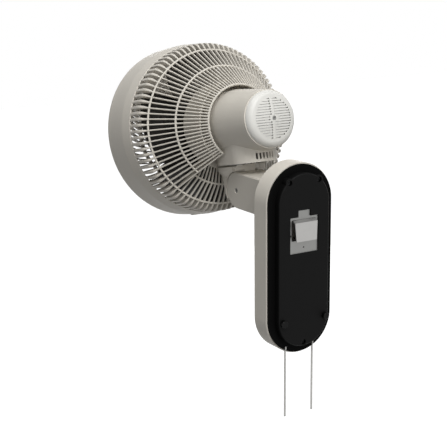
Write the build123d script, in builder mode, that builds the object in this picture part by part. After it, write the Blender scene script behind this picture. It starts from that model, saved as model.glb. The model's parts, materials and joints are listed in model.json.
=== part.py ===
"""Wall mounted fan, modelled in millimetres.

Frame: the origin is the wall hook, in the plane of the wall. +Y points into the wall,
the fan blows towards -Y, +Z is up. A "depth" is a distance from the wall into the room.
The fan head has a frame of its own: x across, y up and z forward along the fan axis,
tipped face-down by REST_TILT. A "station" is a distance along the fan axis, forward of
the inner ring of the rear guard, and a "drop" is a distance below the fan axis.
"""

from build123d import *

import os
from math import atan2, cos, degrees, radians, sin, sqrt

os.makedirs("parts", exist_ok=True)

# ---------------------------------------------------------------- driving dimensions
RUN = 0.06              # radial clearance of a shaft that turns in its bore
SEAT = 0.02             # radial clearance of a piece that is seated in another
SLIP = 0.2              # side clearance between moulded faces that slide
BEVEL = 2 - sqrt(2)     # leg of the flat bevel that touches a round of radius 1

# wall base
PILL_WIDTH = 120.0
PILL_STRAIGHT = 180.0   # distance between the centres of its two round ends
PILL_Z = -48.0          # middle of the base, below the hook
SHELL_DEPTH = 39.0
SHELL_WALL = 2.6
SHELL_EDGE = 11.0       # round of the front edge
FOOT_DEPTH = 6.4        # height of a foot above the panel
FOOT_RADIUS = 5.5
FOOT_INSET = 21.0       # middle of a foot inside the base's side
FOOT_FALL = 3.0         # and below the centre of its lower round end
PANEL_RAISE = 11.3      # raised panel above the rim of the cover
PANEL_INSET = 11.7
PANEL_EDGE = 3.0
COVER_PROUD = 3.4       # rim of the cover above the lip of the shell
COVER_INSET = 2.0
COVER_WALL = 2.6
SKIRT_DEPTH = 5.0       # skirt of the cover inside the shell

# cover screws and their bosses
SCREW_X = 27.0
SCREW_TOP_INSET = 26.4  # upper screws below the top of the base
SCREW_LOW_INSET = 20.4  # lower screw above its bottom
SCREW_RADIUS = 1.9
SCREW_HEAD_RADIUS = 3.4
SCREW_HEAD_HEIGHT = 2.4
SCREW_WELL_RADIUS = 4.2
SCREW_WELL_DEPTH = 6.0
SCREW_LENGTH = 22.0
BOSS_RADIUS = 5.0

# steel hanger
HANGER_WIDTH = 51.4
HANGER_TOP_Z = 21.4
HANGER_LOW_Z = -35.0
HANGER_SHEET = 1.5
HANGER_TAB_WIDTH = 22.0
HANGER_TAB_HEIGHT = 10.2
HANGER_SUNK = 2.0       # outer face of the plate below the panel
WINDOW_WIDTH = 44.0
WINDOW_TOP_Z = 17.2
WINDOW_LOW_Z = -15.0
TONGUE_TOP_WIDTH = 41.0
TONGUE_LOW_WIDTH = 37.0
TONGUE_REACH = 7.0      # outer face of the tongue above the plate, at its top
TONGUE_LEAN = 1.1       # and how much further out its free end leans
TONGUE_DROP = 3.6       # slope of the shelf that carries it
HANGER_HOLE_RADIUS = 1.7
HANGER_RIVET_X = 23.7
HANGER_RIVET_Z = -6.7
HANGER_LOCK_Z = -26.3

# arm and tilt joint
PIVOT_DEPTH = 159.0
PIVOT_Z = 38.0
ARM_HALF = 26.0
ARM_RADIUS = 29.5       # round end of the arm, about the tilt pivot
ARM_ROOT = 10.0         # fillet where it leaves the base
ARM_EDGE = 3.0
ARM_WALL = 4.0
FORK_HALF = 10.0        # half of the gap between the arm's two cheeks
FORK_RADIUS = 32.0
TONGUE_RADIUS = 30.6    # the neck's tongue, inside the fork
COLLAR_GAP = 0.7        # between the round end of the arm and the neck around it
BOLT_RADIUS = 3.0
BOLT_HEAD_RADIUS = 4.3
BOLT_HEAD_HEIGHT = 3.6
BOLT_WELL_RADIUS = 4.7
BOLT_WELL_DEPTH = 5.0
NUT_FLATS = 10.0
NUT_HEIGHT = 4.6
NUT_WELL_RADIUS = 7.0
NUT_WELL_DEPTH = 8.4
WASHER_RADIUS = 5.6
WASHER_SHEET = 1.2

# head
REST_TILT = 11.4        # face-down tilt in the rest pose, degrees
FAN_RISE = 107.0        # fan axis above the tilt pivot
SWING_STATION = 27.0    # where the swing axis crosses the fan axis
POD_DROP = 65.0         # underside of the pod
POD_HALF = 39.0
POD_REAR_STATION = -19.3
POD_FRONT_STATION = 16.5
POD_TOP_DROP = 30.0
POD_WALL = 2.5
SWING_GAP = 1.8         # running gap between the pod and the neck
TURRET_RADIUS = 34.0
TURRET_HEIGHT = 7.5
TURRET_TAPER = 10.0
LUG_HALF_WIDTH = 6.5
LUG_X = -34.0
LUG_STATION = 15.5
LUG_HEIGHT = 15.0

# swing drive
POST_RADIUS = 6.0
POST_SOCKET = 10.0      # depth of the post in the neck
BUSH_WALL = 2.0
BOSS_WALL = 2.6
BUSH_LENGTH = 6.0
WASHER_OUTER = 18.0
GEAR_MODULE = 1.5
GEAR_TEETH = 27
PINION_TEETH = 9
GEAR_WIDTH = 5.0
CLIP_WIDTH = 1.2
SWING_MOTOR_RADIUS = 19.0
SWING_MOTOR_HEIGHT = 9.0
EAR_X = 28.0
EAR_RADIUS = 4.0
EAR_SHEET = 1.5
VENT_COUNT = 6
VENT_PITCH = 8.8        # degrees
VENT_WIDTH = 2.9
VENT_HEIGHT = 9.3
VENT_TOP_DROP = 51.0

# motor
MOTOR_REAR_STATION = -80.0
MOTOR_REAR_RADIUS = 46.0
MOTOR_MID_RADIUS = 54.2
MOTOR_FRONT_STATION = 65.0
MOTOR_WALL = 2.6
MOTOR_EDGE = 4.0
FRONT_WALL = 4.0
FRONT_BOSS_RADIUS = 14.0
FRONT_BOSS_LENGTH = 15.0
SHAFT_RADIUS = 4.0
SHAFT_REAR_STATION = -52.0
SHAFT_FRONT_STATION = 121.0
BEARING_WALL = 4.0
BEARING_LENGTH = 8.0
STATOR_RADIUS = 42.0
STATOR_BORE = 22.6
STATOR_HALF = 19.0
WINDING_RADIUS = 37.0
WINDING_LENGTH = 11.0
ROTOR_GAP = 0.6
END_PLATE_SHEET = 3.0
END_PLATE_STATION = -44.0

# rear cap
CAP_DEPTH = 14.0
CAP_RADIUS = 45.2
CAP_STEP = 0.8
CAP_FACE_RADIUS = 36.5
CAP_WALL = 2.4
GRILLE_RADIUS = 32.0
GRILLE_ROWS = 16
GRILLE_PITCH = 4.05
SLIT_HEIGHT = 1.1
GRILLE_RIB_HALF = 5.7
CAP_BOSS_RADIUS = 6.0
CAP_SCREW_RADIUS = 2.0
CAP_SCREW_HEAD = 3.3
CAP_WELL_RADIUS = 3.6
CAP_WELL_DEPTH = 2.6

# rear guard
SPOKES = 88
POCKET_SPOKES = 20      # spokes that run across the pocket for the neck
SPOKE_WIDTH = 2.2
SPOKE_DEPTH = 4.5
RING_WIDTH = 3.0
RING_SINK = 0.2         # rings below the outer edge of the spokes
INNER_RADIUS = 63.5
MID_RADIUS = 98.5
MID_STATION = 44.7
OUTER_INSET = 16.7      # outer ring inside the band
OUTER_STATION = 81.0
SHOULDER_INSET = 5.2    # shoulder of the spokes inside the band
SHOULDER_STATION = 91.0
SHOULDER_DEPTH = 8.0    # depth of the spokes there
BAND_RADIUS = 146.2
BAND_STATION = 143.0
SKIRT_STATION = 120.0   # rear edge of the sloping skirt between the spokes
SKIRT_SINK = 1.2        # and how far it lies below them
BAND_SHEET = 2.6
GUARD_STATION = 200.0   # front edge of the guard
FLOOR_STATION = 65.0    # floor of the pocket
FLOOR_RADIUS = 100.0
HUB_RADIUS = 71.0
HUB_SHEET = 3.0
RIM_WALL = 2.4

# front guard
SEAM_STATION = 188.0
GUARD_LAP = 6.0         # how far its lip reaches into the band
RIM_WIDTH = 7.0
RIM_EDGE = 4.0
FRONT_RIBS = 72
RIB_WIDTH = 1.8
RIB_DEPTH = 8.0
RIB_SWIRL = 34.0        # degrees that a rib turns from the centre to the rim
RIB_BOW = 11.0          # and how far it has turned at half its length
CENTRE_RADIUS = 31.0
FRONT_RING_RADIUS = 88.0
CLIP_SIZE = (14.0, 1.4, 12.0)

# fan wheel
BLADES = 5
BLADE_TIP_RADIUS = 121.0
BLADE_HUB_RADIUS = 25.0
BLADE_HUB_STATION = 84.0
BLADE_HUB_LENGTH = 30.0
BLADE_WALL = 2.5
BLADE_CHORD = 130.0
BLADE_PITCH = 20.0      # degrees
BLADE_CAMBER = 9.0
BLADE_SHEET = 2.2
BLADE_LEAD = 6.0        # middle of the blades ahead of the middle of the hub
LOCK_NUT_RADIUS = 25.0
LOCK_NUT_LENGTH = 9.0
SPINNER_RADIUS = 13.0
SPINNER_SKIRT = 4.0

# pull switches and cords
CORD_X = 25.6
CORD_DEPTH = 20.0
CORD_RADIUS = 1.3
CORD_HANG = 111.0        # visible length below the base
CORD_EXIT_INSET = 9.0    # lower ends of the guides above the bottom of the base
GUIDE_RADIUS = 2.6
GUIDE_LENGTH = 5.0
PLUNGER_RADIUS = 1.8
SWITCH_WIDTH = 24.0
SWITCH_HEIGHT = 34.0
SWITCH_DEPTH = 18.0
SWITCH_INSET = 60.0     # middle of a pull switch above the bottom of the base
PLUNGER_STUB = 5.0      # how far the plunger stands out of its switch

# capacitor and terminals
CAPACITOR_SIZE = (36.0, 22.0, 16.0)
CAPACITOR_SPOT = (-18.0, -34.0)
CAPACITOR_CORNER = 2.0
TERMINAL_SIZE = (16.0, 44.0, 9.0)
TERMINAL_SPOT = (22.0, -36.0)
TERMINAL_WAYS = 4
TERMINAL_PITCH = 10.0
TERMINAL_TOWER = (12.0, 7.0, 5.0)
TERMINAL_SCREW_RADIUS = 1.8

# ---------------------------------------------------------------- places worked out
PILL_TOP_Z = PILL_Z + (PILL_STRAIGHT + PILL_WIDTH) / 2
PILL_LOW_Z = PILL_Z - (PILL_STRAIGHT + PILL_WIDTH) / 2
SCREW_TOP_Z = PILL_TOP_Z - SCREW_TOP_INSET
SCREW_LOW_Z = PILL_LOW_Z + SCREW_LOW_INSET
CORD_EXIT_Z = PILL_LOW_Z + CORD_EXIT_INSET
SWITCH_Z = PILL_LOW_Z + SWITCH_INSET
FOOT_X = PILL_WIDTH / 2 - FOOT_INSET
FOOT_Z = PILL_Z - PILL_STRAIGHT / 2 - FOOT_FALL
PANEL_DEPTH = FOOT_DEPTH
RIM_DEPTH = PANEL_DEPTH + PANEL_RAISE
LIP_DEPTH = RIM_DEPTH + COVER_PROUD
FRONT_DEPTH = LIP_DEPTH + SHELL_DEPTH
COVER_HALF = PILL_WIDTH / 2 - COVER_INSET
PLATE_DEPTH = PANEL_DEPTH + HANGER_SUNK
TURRET_DROP = POD_DROP + SWING_GAP
OUTER_RADIUS = BAND_RADIUS - OUTER_INSET
SHOULDER_RADIUS = BAND_RADIUS - SHOULDER_INSET

across = Vector(1, 0, 0)
forward = Vector(0, -cos(radians(REST_TILT)), -sin(radians(REST_TILT)))
upward = forward.cross(across)
pivot = Vector(0, -PIVOT_DEPTH, PIVOT_Z)
head_origin = pivot + upward * FAN_RISE
fan_axis = Axis(head_origin, forward)
deck = Plane(origin=head_origin, x_dir=across, z_dir=-upward)       # x across, y forward
side = Plane(origin=head_origin, x_dir=forward, z_dir=-across)      # x forward, y up


def face_on(station):
    """Plane square to the fan axis at a station, x across and y up."""
    return Plane(origin=head_origin + forward * station, x_dir=across, z_dir=forward)


def radial(angle):
    """Plane through the fan axis, x outwards at an angle from straight down, y forward."""
    out = across * sin(radians(angle)) - upward * cos(radians(angle))
    return Plane(origin=head_origin, x_dir=out, z_dir=out.cross(forward))


def wall_plane(depth):
    """Plane parallel to the wall, x across and z up, facing the room."""
    return Plane.XZ.offset(depth)


def keep(sub_part, name):
    """Label a finished sub-part and write it."""
    sub_part.part.label = name
    export_step(sub_part.part, f"parts/{name}.step")


def gear_outline(teeth, module, phase):
    """Outline of a spur gear: a root disc with straight-sided teeth."""
    pitch_radius = teeth * module / 2
    tip_radius = pitch_radius + 0.8 * module
    root_radius = pitch_radius - 1.05 * module
    sunk_radius = root_radius - 0.3 * module
    root_half = 0.80 * module
    tip_half = 0.36 * module
    with BuildSketch() as outline:
        Circle(root_radius)
        with PolarLocations(0, teeth, start_angle=phase):
            Polygon(
                (sunk_radius, -root_half),
                (tip_radius, -tip_half),
                (tip_radius, tip_half),
                (sunk_radius, root_half),
                align=None,
            )
    return outline.sketch


screw_spots = [(-SCREW_X, SCREW_TOP_Z), (SCREW_X, SCREW_TOP_Z), (0, SCREW_LOW_Z)]
cord_spots = [-CORD_X, CORD_X]

# ---------------------------------------------------------------- base shell and arm
ARM_MID_Z = PIVOT_Z
arm_span = PIVOT_DEPTH - FRONT_DEPTH + SHELL_WALL
with BuildPart() as base_shell:
    with BuildSketch(wall_plane(LIP_DEPTH)):
        with Locations((0, PILL_Z)):
            SlotCenterToCenter(PILL_STRAIGHT, PILL_WIDTH, rotation=90)
    extrude(amount=SHELL_DEPTH)
    chamfer(base_shell.faces().sort_by(Axis.Y)[0].edges(), BEVEL * SHELL_EDGE)
    with BuildSketch(Plane.YZ) as arm_profile:
        with Locations((-PIVOT_DEPTH + arm_span / 2, ARM_MID_Z)):
            Rectangle(arm_span, 2 * ARM_RADIUS)
        with Locations((-PIVOT_DEPTH, PIVOT_Z)):
            Circle(ARM_RADIUS)
    extrude(amount=ARM_HALF, both=True)
    arm_edges = [
        edge
        for edge in base_shell.edges()
        if abs(abs(edge.center().X) - ARM_HALF) < 0.01 and edge.center().Y < -FRONT_DEPTH - 1
    ]
    chamfer(arm_edges, BEVEL * ARM_EDGE)
    root_edges = [
        edge
        for edge in base_shell.edges()
        if abs(edge.center().Y + FRONT_DEPTH) < 0.01
        and abs(edge.center().Z - ARM_MID_Z) < ARM_RADIUS + 0.1
        and abs(edge.center().X) < ARM_HALF + 0.1
    ]
    chamfer(root_edges, BEVEL * ARM_ROOT)
    # hollow of the base, open towards the wall
    with BuildSketch(wall_plane(LIP_DEPTH)):
        with Locations((0, PILL_Z)):
            SlotCenterToCenter(PILL_STRAIGHT, PILL_WIDTH - 2 * SHELL_WALL, rotation=90)
    extrude(amount=SHELL_DEPTH - SHELL_EDGE, mode=Mode.SUBTRACT)
    with BuildSketch(wall_plane(LIP_DEPTH)):
        with Locations((0, PILL_Z)):
            SlotCenterToCenter(
                PILL_STRAIGHT, PILL_WIDTH - 2 * BEVEL * SHELL_EDGE - SHELL_WALL, rotation=90
            )
    extrude(amount=SHELL_DEPTH - SHELL_WALL, mode=Mode.SUBTRACT)
    # hollow of the arm, which carries the leads
    with BuildSketch(wall_plane(FRONT_DEPTH - SHELL_WALL - 1)):
        with Locations((0, ARM_MID_Z)):
            RectangleRounded(2 * (ARM_HALF - ARM_WALL), 2 * (ARM_RADIUS - ARM_WALL), ARM_WALL)
    extrude(
        amount=PIVOT_DEPTH - FORK_RADIUS - ARM_WALL - FRONT_DEPTH + SHELL_WALL + 1,
        mode=Mode.SUBTRACT,
    )
    # fork for the tongue of the neck, and the bolt through its cheeks
    with BuildSketch(Plane.YZ):
        with Locations((-PIVOT_DEPTH, PIVOT_Z)):
            Circle(FORK_RADIUS)
    extrude(amount=FORK_HALF, both=True, mode=Mode.SUBTRACT)
    with BuildSketch(Plane.YZ):
        with Locations((-PIVOT_DEPTH, PIVOT_Z)):
            Circle(BOLT_RADIUS + SEAT)
    extrude(amount=ARM_HALF, both=True, mode=Mode.SUBTRACT)
    with BuildSketch(Plane.YZ.offset(ARM_HALF)):
        with Locations((-PIVOT_DEPTH, PIVOT_Z)):
            Circle(BOLT_WELL_RADIUS)
    extrude(amount=-BOLT_WELL_DEPTH, mode=Mode.SUBTRACT)
    with BuildSketch(Plane.YZ.offset(-ARM_HALF)):
        with Locations((-PIVOT_DEPTH, PIVOT_Z)):
            Circle(NUT_WELL_RADIUS)
    extrude(amount=NUT_WELL_DEPTH, mode=Mode.SUBTRACT)
    # bosses for the cover screws, on the front wall
    with BuildSketch(wall_plane(LIP_DEPTH)):
        with Locations(*screw_spots):
            Circle(BOSS_RADIUS)
    extrude(amount=SHELL_DEPTH - SHELL_WALL / 2)
    with BuildSketch(wall_plane(LIP_DEPTH)):
        with Locations(*screw_spots):
            Circle(SCREW_RADIUS + SEAT)
    extrude(amount=SCREW_LENGTH, mode=Mode.SUBTRACT)
    # half notches in the lip for the cord guides
    with BuildSketch(Plane.XY.offset(CORD_EXIT_Z + GUIDE_LENGTH)):
        with Locations(*[(x, -CORD_DEPTH) for x in cord_spots]):
            Circle(GUIDE_RADIUS + SEAT)
    extrude(amount=-3 * GUIDE_LENGTH, mode=Mode.SUBTRACT)
keep(base_shell, "base_shell")

# ---------------------------------------------------------------- black rear cover
POCKET_DEPTH = PLATE_DEPTH + HANGER_SHEET
with BuildPart() as rear_cover:
    # rim plate
    with BuildSketch(wall_plane(RIM_DEPTH)):
        with Locations((0, PILL_Z)):
            SlotCenterToCenter(PILL_STRAIGHT, 2 * COVER_HALF, rotation=90)
    extrude(amount=COVER_PROUD)
    # raised panel
    with BuildSketch(wall_plane(RIM_DEPTH)):
        with Locations((0, PILL_Z)):
            SlotCenterToCenter(PILL_STRAIGHT, 2 * (COVER_HALF - PANEL_INSET), rotation=90)
    extrude(amount=-PANEL_RAISE)
    chamfer(rear_cover.faces().sort_by(Axis.Y)[-1].edges(), BEVEL * PANEL_EDGE)
    # hollow behind the panel
    with BuildSketch(wall_plane(RIM_DEPTH + COVER_PROUD)):
        with Locations((0, PILL_Z)):
            SlotCenterToCenter(
                PILL_STRAIGHT, 2 * (COVER_HALF - PANEL_INSET - COVER_WALL), rotation=90
            )
    extrude(amount=-(PANEL_RAISE + COVER_PROUD - COVER_WALL), mode=Mode.SUBTRACT)
    # seat of the hanger, its backing, and the well behind its window
    with BuildSketch(wall_plane(PANEL_DEPTH + COVER_WALL)):
        with Locations((0, (HANGER_TOP_Z + HANGER_LOW_Z) / 2 + HANGER_TAB_HEIGHT / 2)):
            Rectangle(
                HANGER_WIDTH + 4 * COVER_WALL,
                HANGER_TOP_Z - HANGER_LOW_Z + HANGER_TAB_HEIGHT + 4 * COVER_WALL,
            )
    extrude(amount=POCKET_DEPTH - PANEL_DEPTH)
    with BuildSketch(wall_plane(PANEL_DEPTH)) as hanger_seat:
        with Locations((0, (HANGER_TOP_Z + HANGER_LOW_Z) / 2)):
            Rectangle(HANGER_WIDTH + 2 * SLIP, HANGER_TOP_Z - HANGER_LOW_Z + 2 * SLIP)
        with Locations((0, HANGER_TOP_Z + HANGER_TAB_HEIGHT / 2)):
            Rectangle(HANGER_TAB_WIDTH + 2 * SLIP, HANGER_TAB_HEIGHT + 2 * SLIP)
    extrude(amount=POCKET_DEPTH - PANEL_DEPTH, mode=Mode.SUBTRACT)
    with BuildSketch(wall_plane(POCKET_DEPTH)):
        with Locations((0, (WINDOW_TOP_Z + WINDOW_LOW_Z) / 2)):
            Rectangle(WINDOW_WIDTH, WINDOW_TOP_Z - WINDOW_LOW_Z)
    extrude(amount=COVER_WALL, mode=Mode.SUBTRACT)
    # screw wells
    with BuildSketch(wall_plane(PANEL_DEPTH)):
        with Locations(*screw_spots):
            Circle(SCREW_WELL_RADIUS + COVER_WALL)
    extrude(amount=LIP_DEPTH - PANEL_DEPTH)
    with BuildSketch(wall_plane(PANEL_DEPTH)):
        with Locations(*screw_spots):
            Circle(SCREW_WELL_RADIUS)
    extrude(amount=SCREW_WELL_DEPTH, mode=Mode.SUBTRACT)
    with BuildSketch(wall_plane(PANEL_DEPTH)):
        with Locations(*screw_spots):
            Circle(SCREW_RADIUS + SLIP)
    extrude(amount=LIP_DEPTH - PANEL_DEPTH, mode=Mode.SUBTRACT)
    # sockets of the feet
    with BuildSketch(wall_plane(PANEL_DEPTH)):
        with Locations((-FOOT_X, FOOT_Z), (FOOT_X, FOOT_Z)):
            Circle(FOOT_RADIUS - 2)
    extrude(amount=COVER_WALL, mode=Mode.SUBTRACT)
    # skirt that centres the cover in the shell
    with BuildSketch(wall_plane(LIP_DEPTH)):
        with Locations((0, PILL_Z)):
            SlotCenterToCenter(
                PILL_STRAIGHT, PILL_WIDTH - 2 * SHELL_WALL - 4 * SLIP, rotation=90
            )
        with Locations((0, PILL_Z)):
            SlotCenterToCenter(
                PILL_STRAIGHT,
                PILL_WIDTH - 4 * SHELL_WALL - 4 * SLIP,
                rotation=90,
                mode=Mode.SUBTRACT,
            )
    extrude(amount=SKIRT_DEPTH)
    # channels for the cords inside the rim, and notches for their guides
    with BuildSketch(wall_plane(CORD_DEPTH - CORD_RADIUS - SLIP)):
        with Locations(*[(x, CORD_EXIT_Z + PILL_WIDTH / 4) for x in cord_spots]):
            Rectangle(2 * (CORD_RADIUS + SLIP), PILL_WIDTH / 2)
    extrude(amount=SHELL_DEPTH / 2, mode=Mode.SUBTRACT)
    with BuildSketch(Plane.XY.offset(CORD_EXIT_Z + GUIDE_LENGTH)):
        with Locations(*[(x, -CORD_DEPTH) for x in cord_spots]):
            Circle(GUIDE_RADIUS + SEAT)
    extrude(amount=-3 * GUIDE_LENGTH, mode=Mode.SUBTRACT)
keep(rear_cover, "rear_cover")

# ---------------------------------------------------------------- steel hanger
SHELF_OUT = TONGUE_REACH - HANGER_SHEET
with BuildPart() as hanger_plate:
    with BuildSketch(wall_plane(PLATE_DEPTH)):
        with Locations((0, (HANGER_TOP_Z + HANGER_LOW_Z) / 2)):
            Rectangle(HANGER_WIDTH, HANGER_TOP_Z - HANGER_LOW_Z)
        with Locations((0, HANGER_TOP_Z + HANGER_TAB_HEIGHT / 2)):
            Rectangle(HANGER_TAB_WIDTH, HANGER_TAB_HEIGHT)
        with Locations((0, (WINDOW_TOP_Z + WINDOW_LOW_Z) / 2)):
            Rectangle(WINDOW_WIDTH, WINDOW_TOP_Z - WINDOW_LOW_Z, mode=Mode.SUBTRACT)
        with Locations(
            (-HANGER_RIVET_X, HANGER_RIVET_Z), (HANGER_RIVET_X, HANGER_RIVET_Z), (0, HANGER_LOCK_Z)
        ):
            Circle(HANGER_HOLE_RADIUS / 2 + 0.4, mode=Mode.SUBTRACT)
    extrude(amount=HANGER_SHEET)
    # shelf and hanging tongue, bent out of the window
    with BuildSketch(Plane.YZ) as tongue_profile:
        with BuildLine():
            Polyline(
                (-PLATE_DEPTH, WINDOW_TOP_Z + 0.6),
                (-PLATE_DEPTH + TONGUE_REACH, WINDOW_TOP_Z - TONGUE_DROP + 0.6),
                (-PLATE_DEPTH + TONGUE_REACH + TONGUE_LEAN, WINDOW_LOW_Z),
                (-PLATE_DEPTH + SHELF_OUT + TONGUE_LEAN, WINDOW_LOW_Z),
                (-PLATE_DEPTH + SHELF_OUT, WINDOW_TOP_Z - TONGUE_DROP - HANGER_SHEET + 0.6),
                (-PLATE_DEPTH - HANGER_SHEET, WINDOW_TOP_Z - HANGER_SHEET),
                (-PLATE_DEPTH - HANGER_SHEET, WINDOW_TOP_Z + 0.6),
                close=True,
            )
        make_face()
    extrude(amount=TONGUE_TOP_WIDTH / 2, both=True)
    # its two sides taper towards the free end
    taper_run = (TONGUE_TOP_WIDTH - TONGUE_LOW_WIDTH) / 2
    with BuildSketch(wall_plane(0)):
        for hand in (-1, 1):
            with BuildLine():
                Polyline(
                    (hand * TONGUE_TOP_WIDTH / 2, WINDOW_TOP_Z - TONGUE_DROP),
                    (hand * (TONGUE_TOP_WIDTH / 2 + 5), WINDOW_TOP_Z - TONGUE_DROP),
                    (hand * (TONGUE_TOP_WIDTH / 2 + 5), WINDOW_LOW_Z - 1),
                    (hand * (TONGUE_TOP_WIDTH / 2 - taper_run), WINDOW_LOW_Z - 1),
                    close=True,
                )
            make_face()
    extrude(amount=PLATE_DEPTH - 0.5, mode=Mode.SUBTRACT)
keep(hanger_plate, "hanger_plate")

# ---------------------------------------------------------------- feet, screws, guides
with BuildPart() as wall_feet:
    with BuildSketch(wall_plane(0)):
        with Locations((-FOOT_X, FOOT_Z), (FOOT_X, FOOT_Z)):
            Circle(FOOT_RADIUS)
    extrude(amount=FOOT_DEPTH)
    with BuildSketch(wall_plane(FOOT_DEPTH)):
        with Locations((-FOOT_X, FOOT_Z), (FOOT_X, FOOT_Z)):
            Circle(FOOT_RADIUS - 2 - SEAT)
    extrude(amount=COVER_WALL)
keep(wall_feet, "wall_feet")

WELL_FLOOR = PANEL_DEPTH + SCREW_WELL_DEPTH
with BuildPart() as cover_screws:
    with BuildSketch(wall_plane(WELL_FLOOR)):
        with Locations(*screw_spots):
            Circle(SCREW_HEAD_RADIUS)
    extrude(amount=-SCREW_HEAD_HEIGHT)
    with BuildSketch(wall_plane(WELL_FLOOR - SCREW_HEAD_HEIGHT)):
        with Locations(*screw_spots):
            Rectangle(0.9, 3.6)
            Rectangle(3.6, 0.9)
    extrude(amount=1.4, mode=Mode.SUBTRACT)
    with BuildSketch(wall_plane(WELL_FLOOR)):
        with Locations(*screw_spots):
            Circle(SCREW_RADIUS)
    extrude(amount=SCREW_LENGTH - 4)
keep(cover_screws, "cover_screws")

with BuildPart() as cord_guides:
    with BuildSketch(Plane.XY.offset(CORD_EXIT_Z)):
        with Locations(*[(x, -CORD_DEPTH) for x in cord_spots]):
            Circle(GUIDE_RADIUS)
            Circle(CORD_RADIUS + SLIP, mode=Mode.SUBTRACT)
    extrude(amount=GUIDE_LENGTH)
keep(cord_guides, "cord_guides")

# ---------------------------------------------------------------- pull switches and cords
SWITCH_FLOOR_Z = SWITCH_Z - SWITCH_HEIGHT / 2
PLUNGER_LOW_Z = SWITCH_FLOOR_Z - PLUNGER_STUB
SWITCH_FACE = CORD_DEPTH - SWITCH_DEPTH / 2


def pull_switch(x):
    """Closed switch body with a bore for its plunger."""
    with BuildPart() as body:
        with BuildSketch(Plane.XY.offset(SWITCH_FLOOR_Z)):
            with Locations((x, -SWITCH_FACE - SWITCH_DEPTH / 2)):
                RectangleRounded(SWITCH_WIDTH, SWITCH_DEPTH, 2.0)
        extrude(amount=SWITCH_HEIGHT)
        with BuildSketch(Plane.XY.offset(SWITCH_FLOOR_Z)):
            with Locations((x, -CORD_DEPTH)):
                Circle(PLUNGER_RADIUS + RUN)
        extrude(amount=SWITCH_HEIGHT - 4, mode=Mode.SUBTRACT)
        with BuildSketch(wall_plane(SWITCH_FACE + SWITCH_DEPTH)):
            with Locations((x, SWITCH_Z)):
                Rectangle(SWITCH_WIDTH - 8, SWITCH_HEIGHT - 12)
        extrude(amount=FRONT_DEPTH - SHELL_WALL - SWITCH_FACE - SWITCH_DEPTH - SLIP)
    return body


def pull_plunger(x):
    """Plunger that the cord hangs from."""
    with BuildPart() as rod:
        with BuildSketch(Plane.XY.offset(PLUNGER_LOW_Z)):
            with Locations((x, -CORD_DEPTH)):
                Circle(PLUNGER_RADIUS)
        extrude(amount=SWITCH_FLOOR_Z + SWITCH_HEIGHT - 6 - PLUNGER_LOW_Z)
    return rod


def pull_cord(x):
    """Cord, from its plunger through the guide and straight down."""
    with BuildPart() as cord:
        with BuildSketch(Plane.XY.offset(PLUNGER_LOW_Z)):
            with Locations((x, -CORD_DEPTH)):
                Circle(CORD_RADIUS)
        extrude(amount=-(PLUNGER_LOW_Z - CORD_EXIT_Z + CORD_HANG))
    return cord


for cord_name, cord_x in (("speed", CORD_X), ("swing", -CORD_X)):
    keep(pull_switch(cord_x), f"{cord_name}_switch")
    keep(pull_plunger(cord_x), f"{cord_name}_plunger")
    keep(pull_cord(cord_x), f"{cord_name}_cord")

# ---------------------------------------------------------------- capacitor and terminals
INNER_FRONT_DEPTH = FRONT_DEPTH - SHELL_WALL
with BuildPart() as run_capacitor:
    with BuildSketch(wall_plane(INNER_FRONT_DEPTH)):
        with Locations(CAPACITOR_SPOT):
            RectangleRounded(*CAPACITOR_SIZE[:2], CAPACITOR_CORNER)
    extrude(amount=-CAPACITOR_SIZE[2])
keep(run_capacitor, "run_capacitor")

with BuildPart() as terminal_block:
    block_top = INNER_FRONT_DEPTH - TERMINAL_SIZE[2]
    tower_top = block_top - TERMINAL_TOWER[2]
    with BuildSketch(wall_plane(INNER_FRONT_DEPTH)):
        with Locations(TERMINAL_SPOT):
            Rectangle(*TERMINAL_SIZE[:2])
    extrude(amount=-TERMINAL_SIZE[2])
    with BuildSketch(wall_plane(block_top)):
        with Locations(TERMINAL_SPOT):
            with GridLocations(0, TERMINAL_PITCH, 1, TERMINAL_WAYS):
                Rectangle(*TERMINAL_TOWER[:2])
    extrude(amount=-TERMINAL_TOWER[2])
    with BuildSketch(wall_plane(tower_top)):
        with Locations(TERMINAL_SPOT):
            with GridLocations(0, TERMINAL_PITCH, 1, TERMINAL_WAYS):
                Circle(TERMINAL_SCREW_RADIUS)
    extrude(amount=0.6 * TERMINAL_TOWER[2], mode=Mode.SUBTRACT)
keep(terminal_block, "terminal_block")

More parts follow.
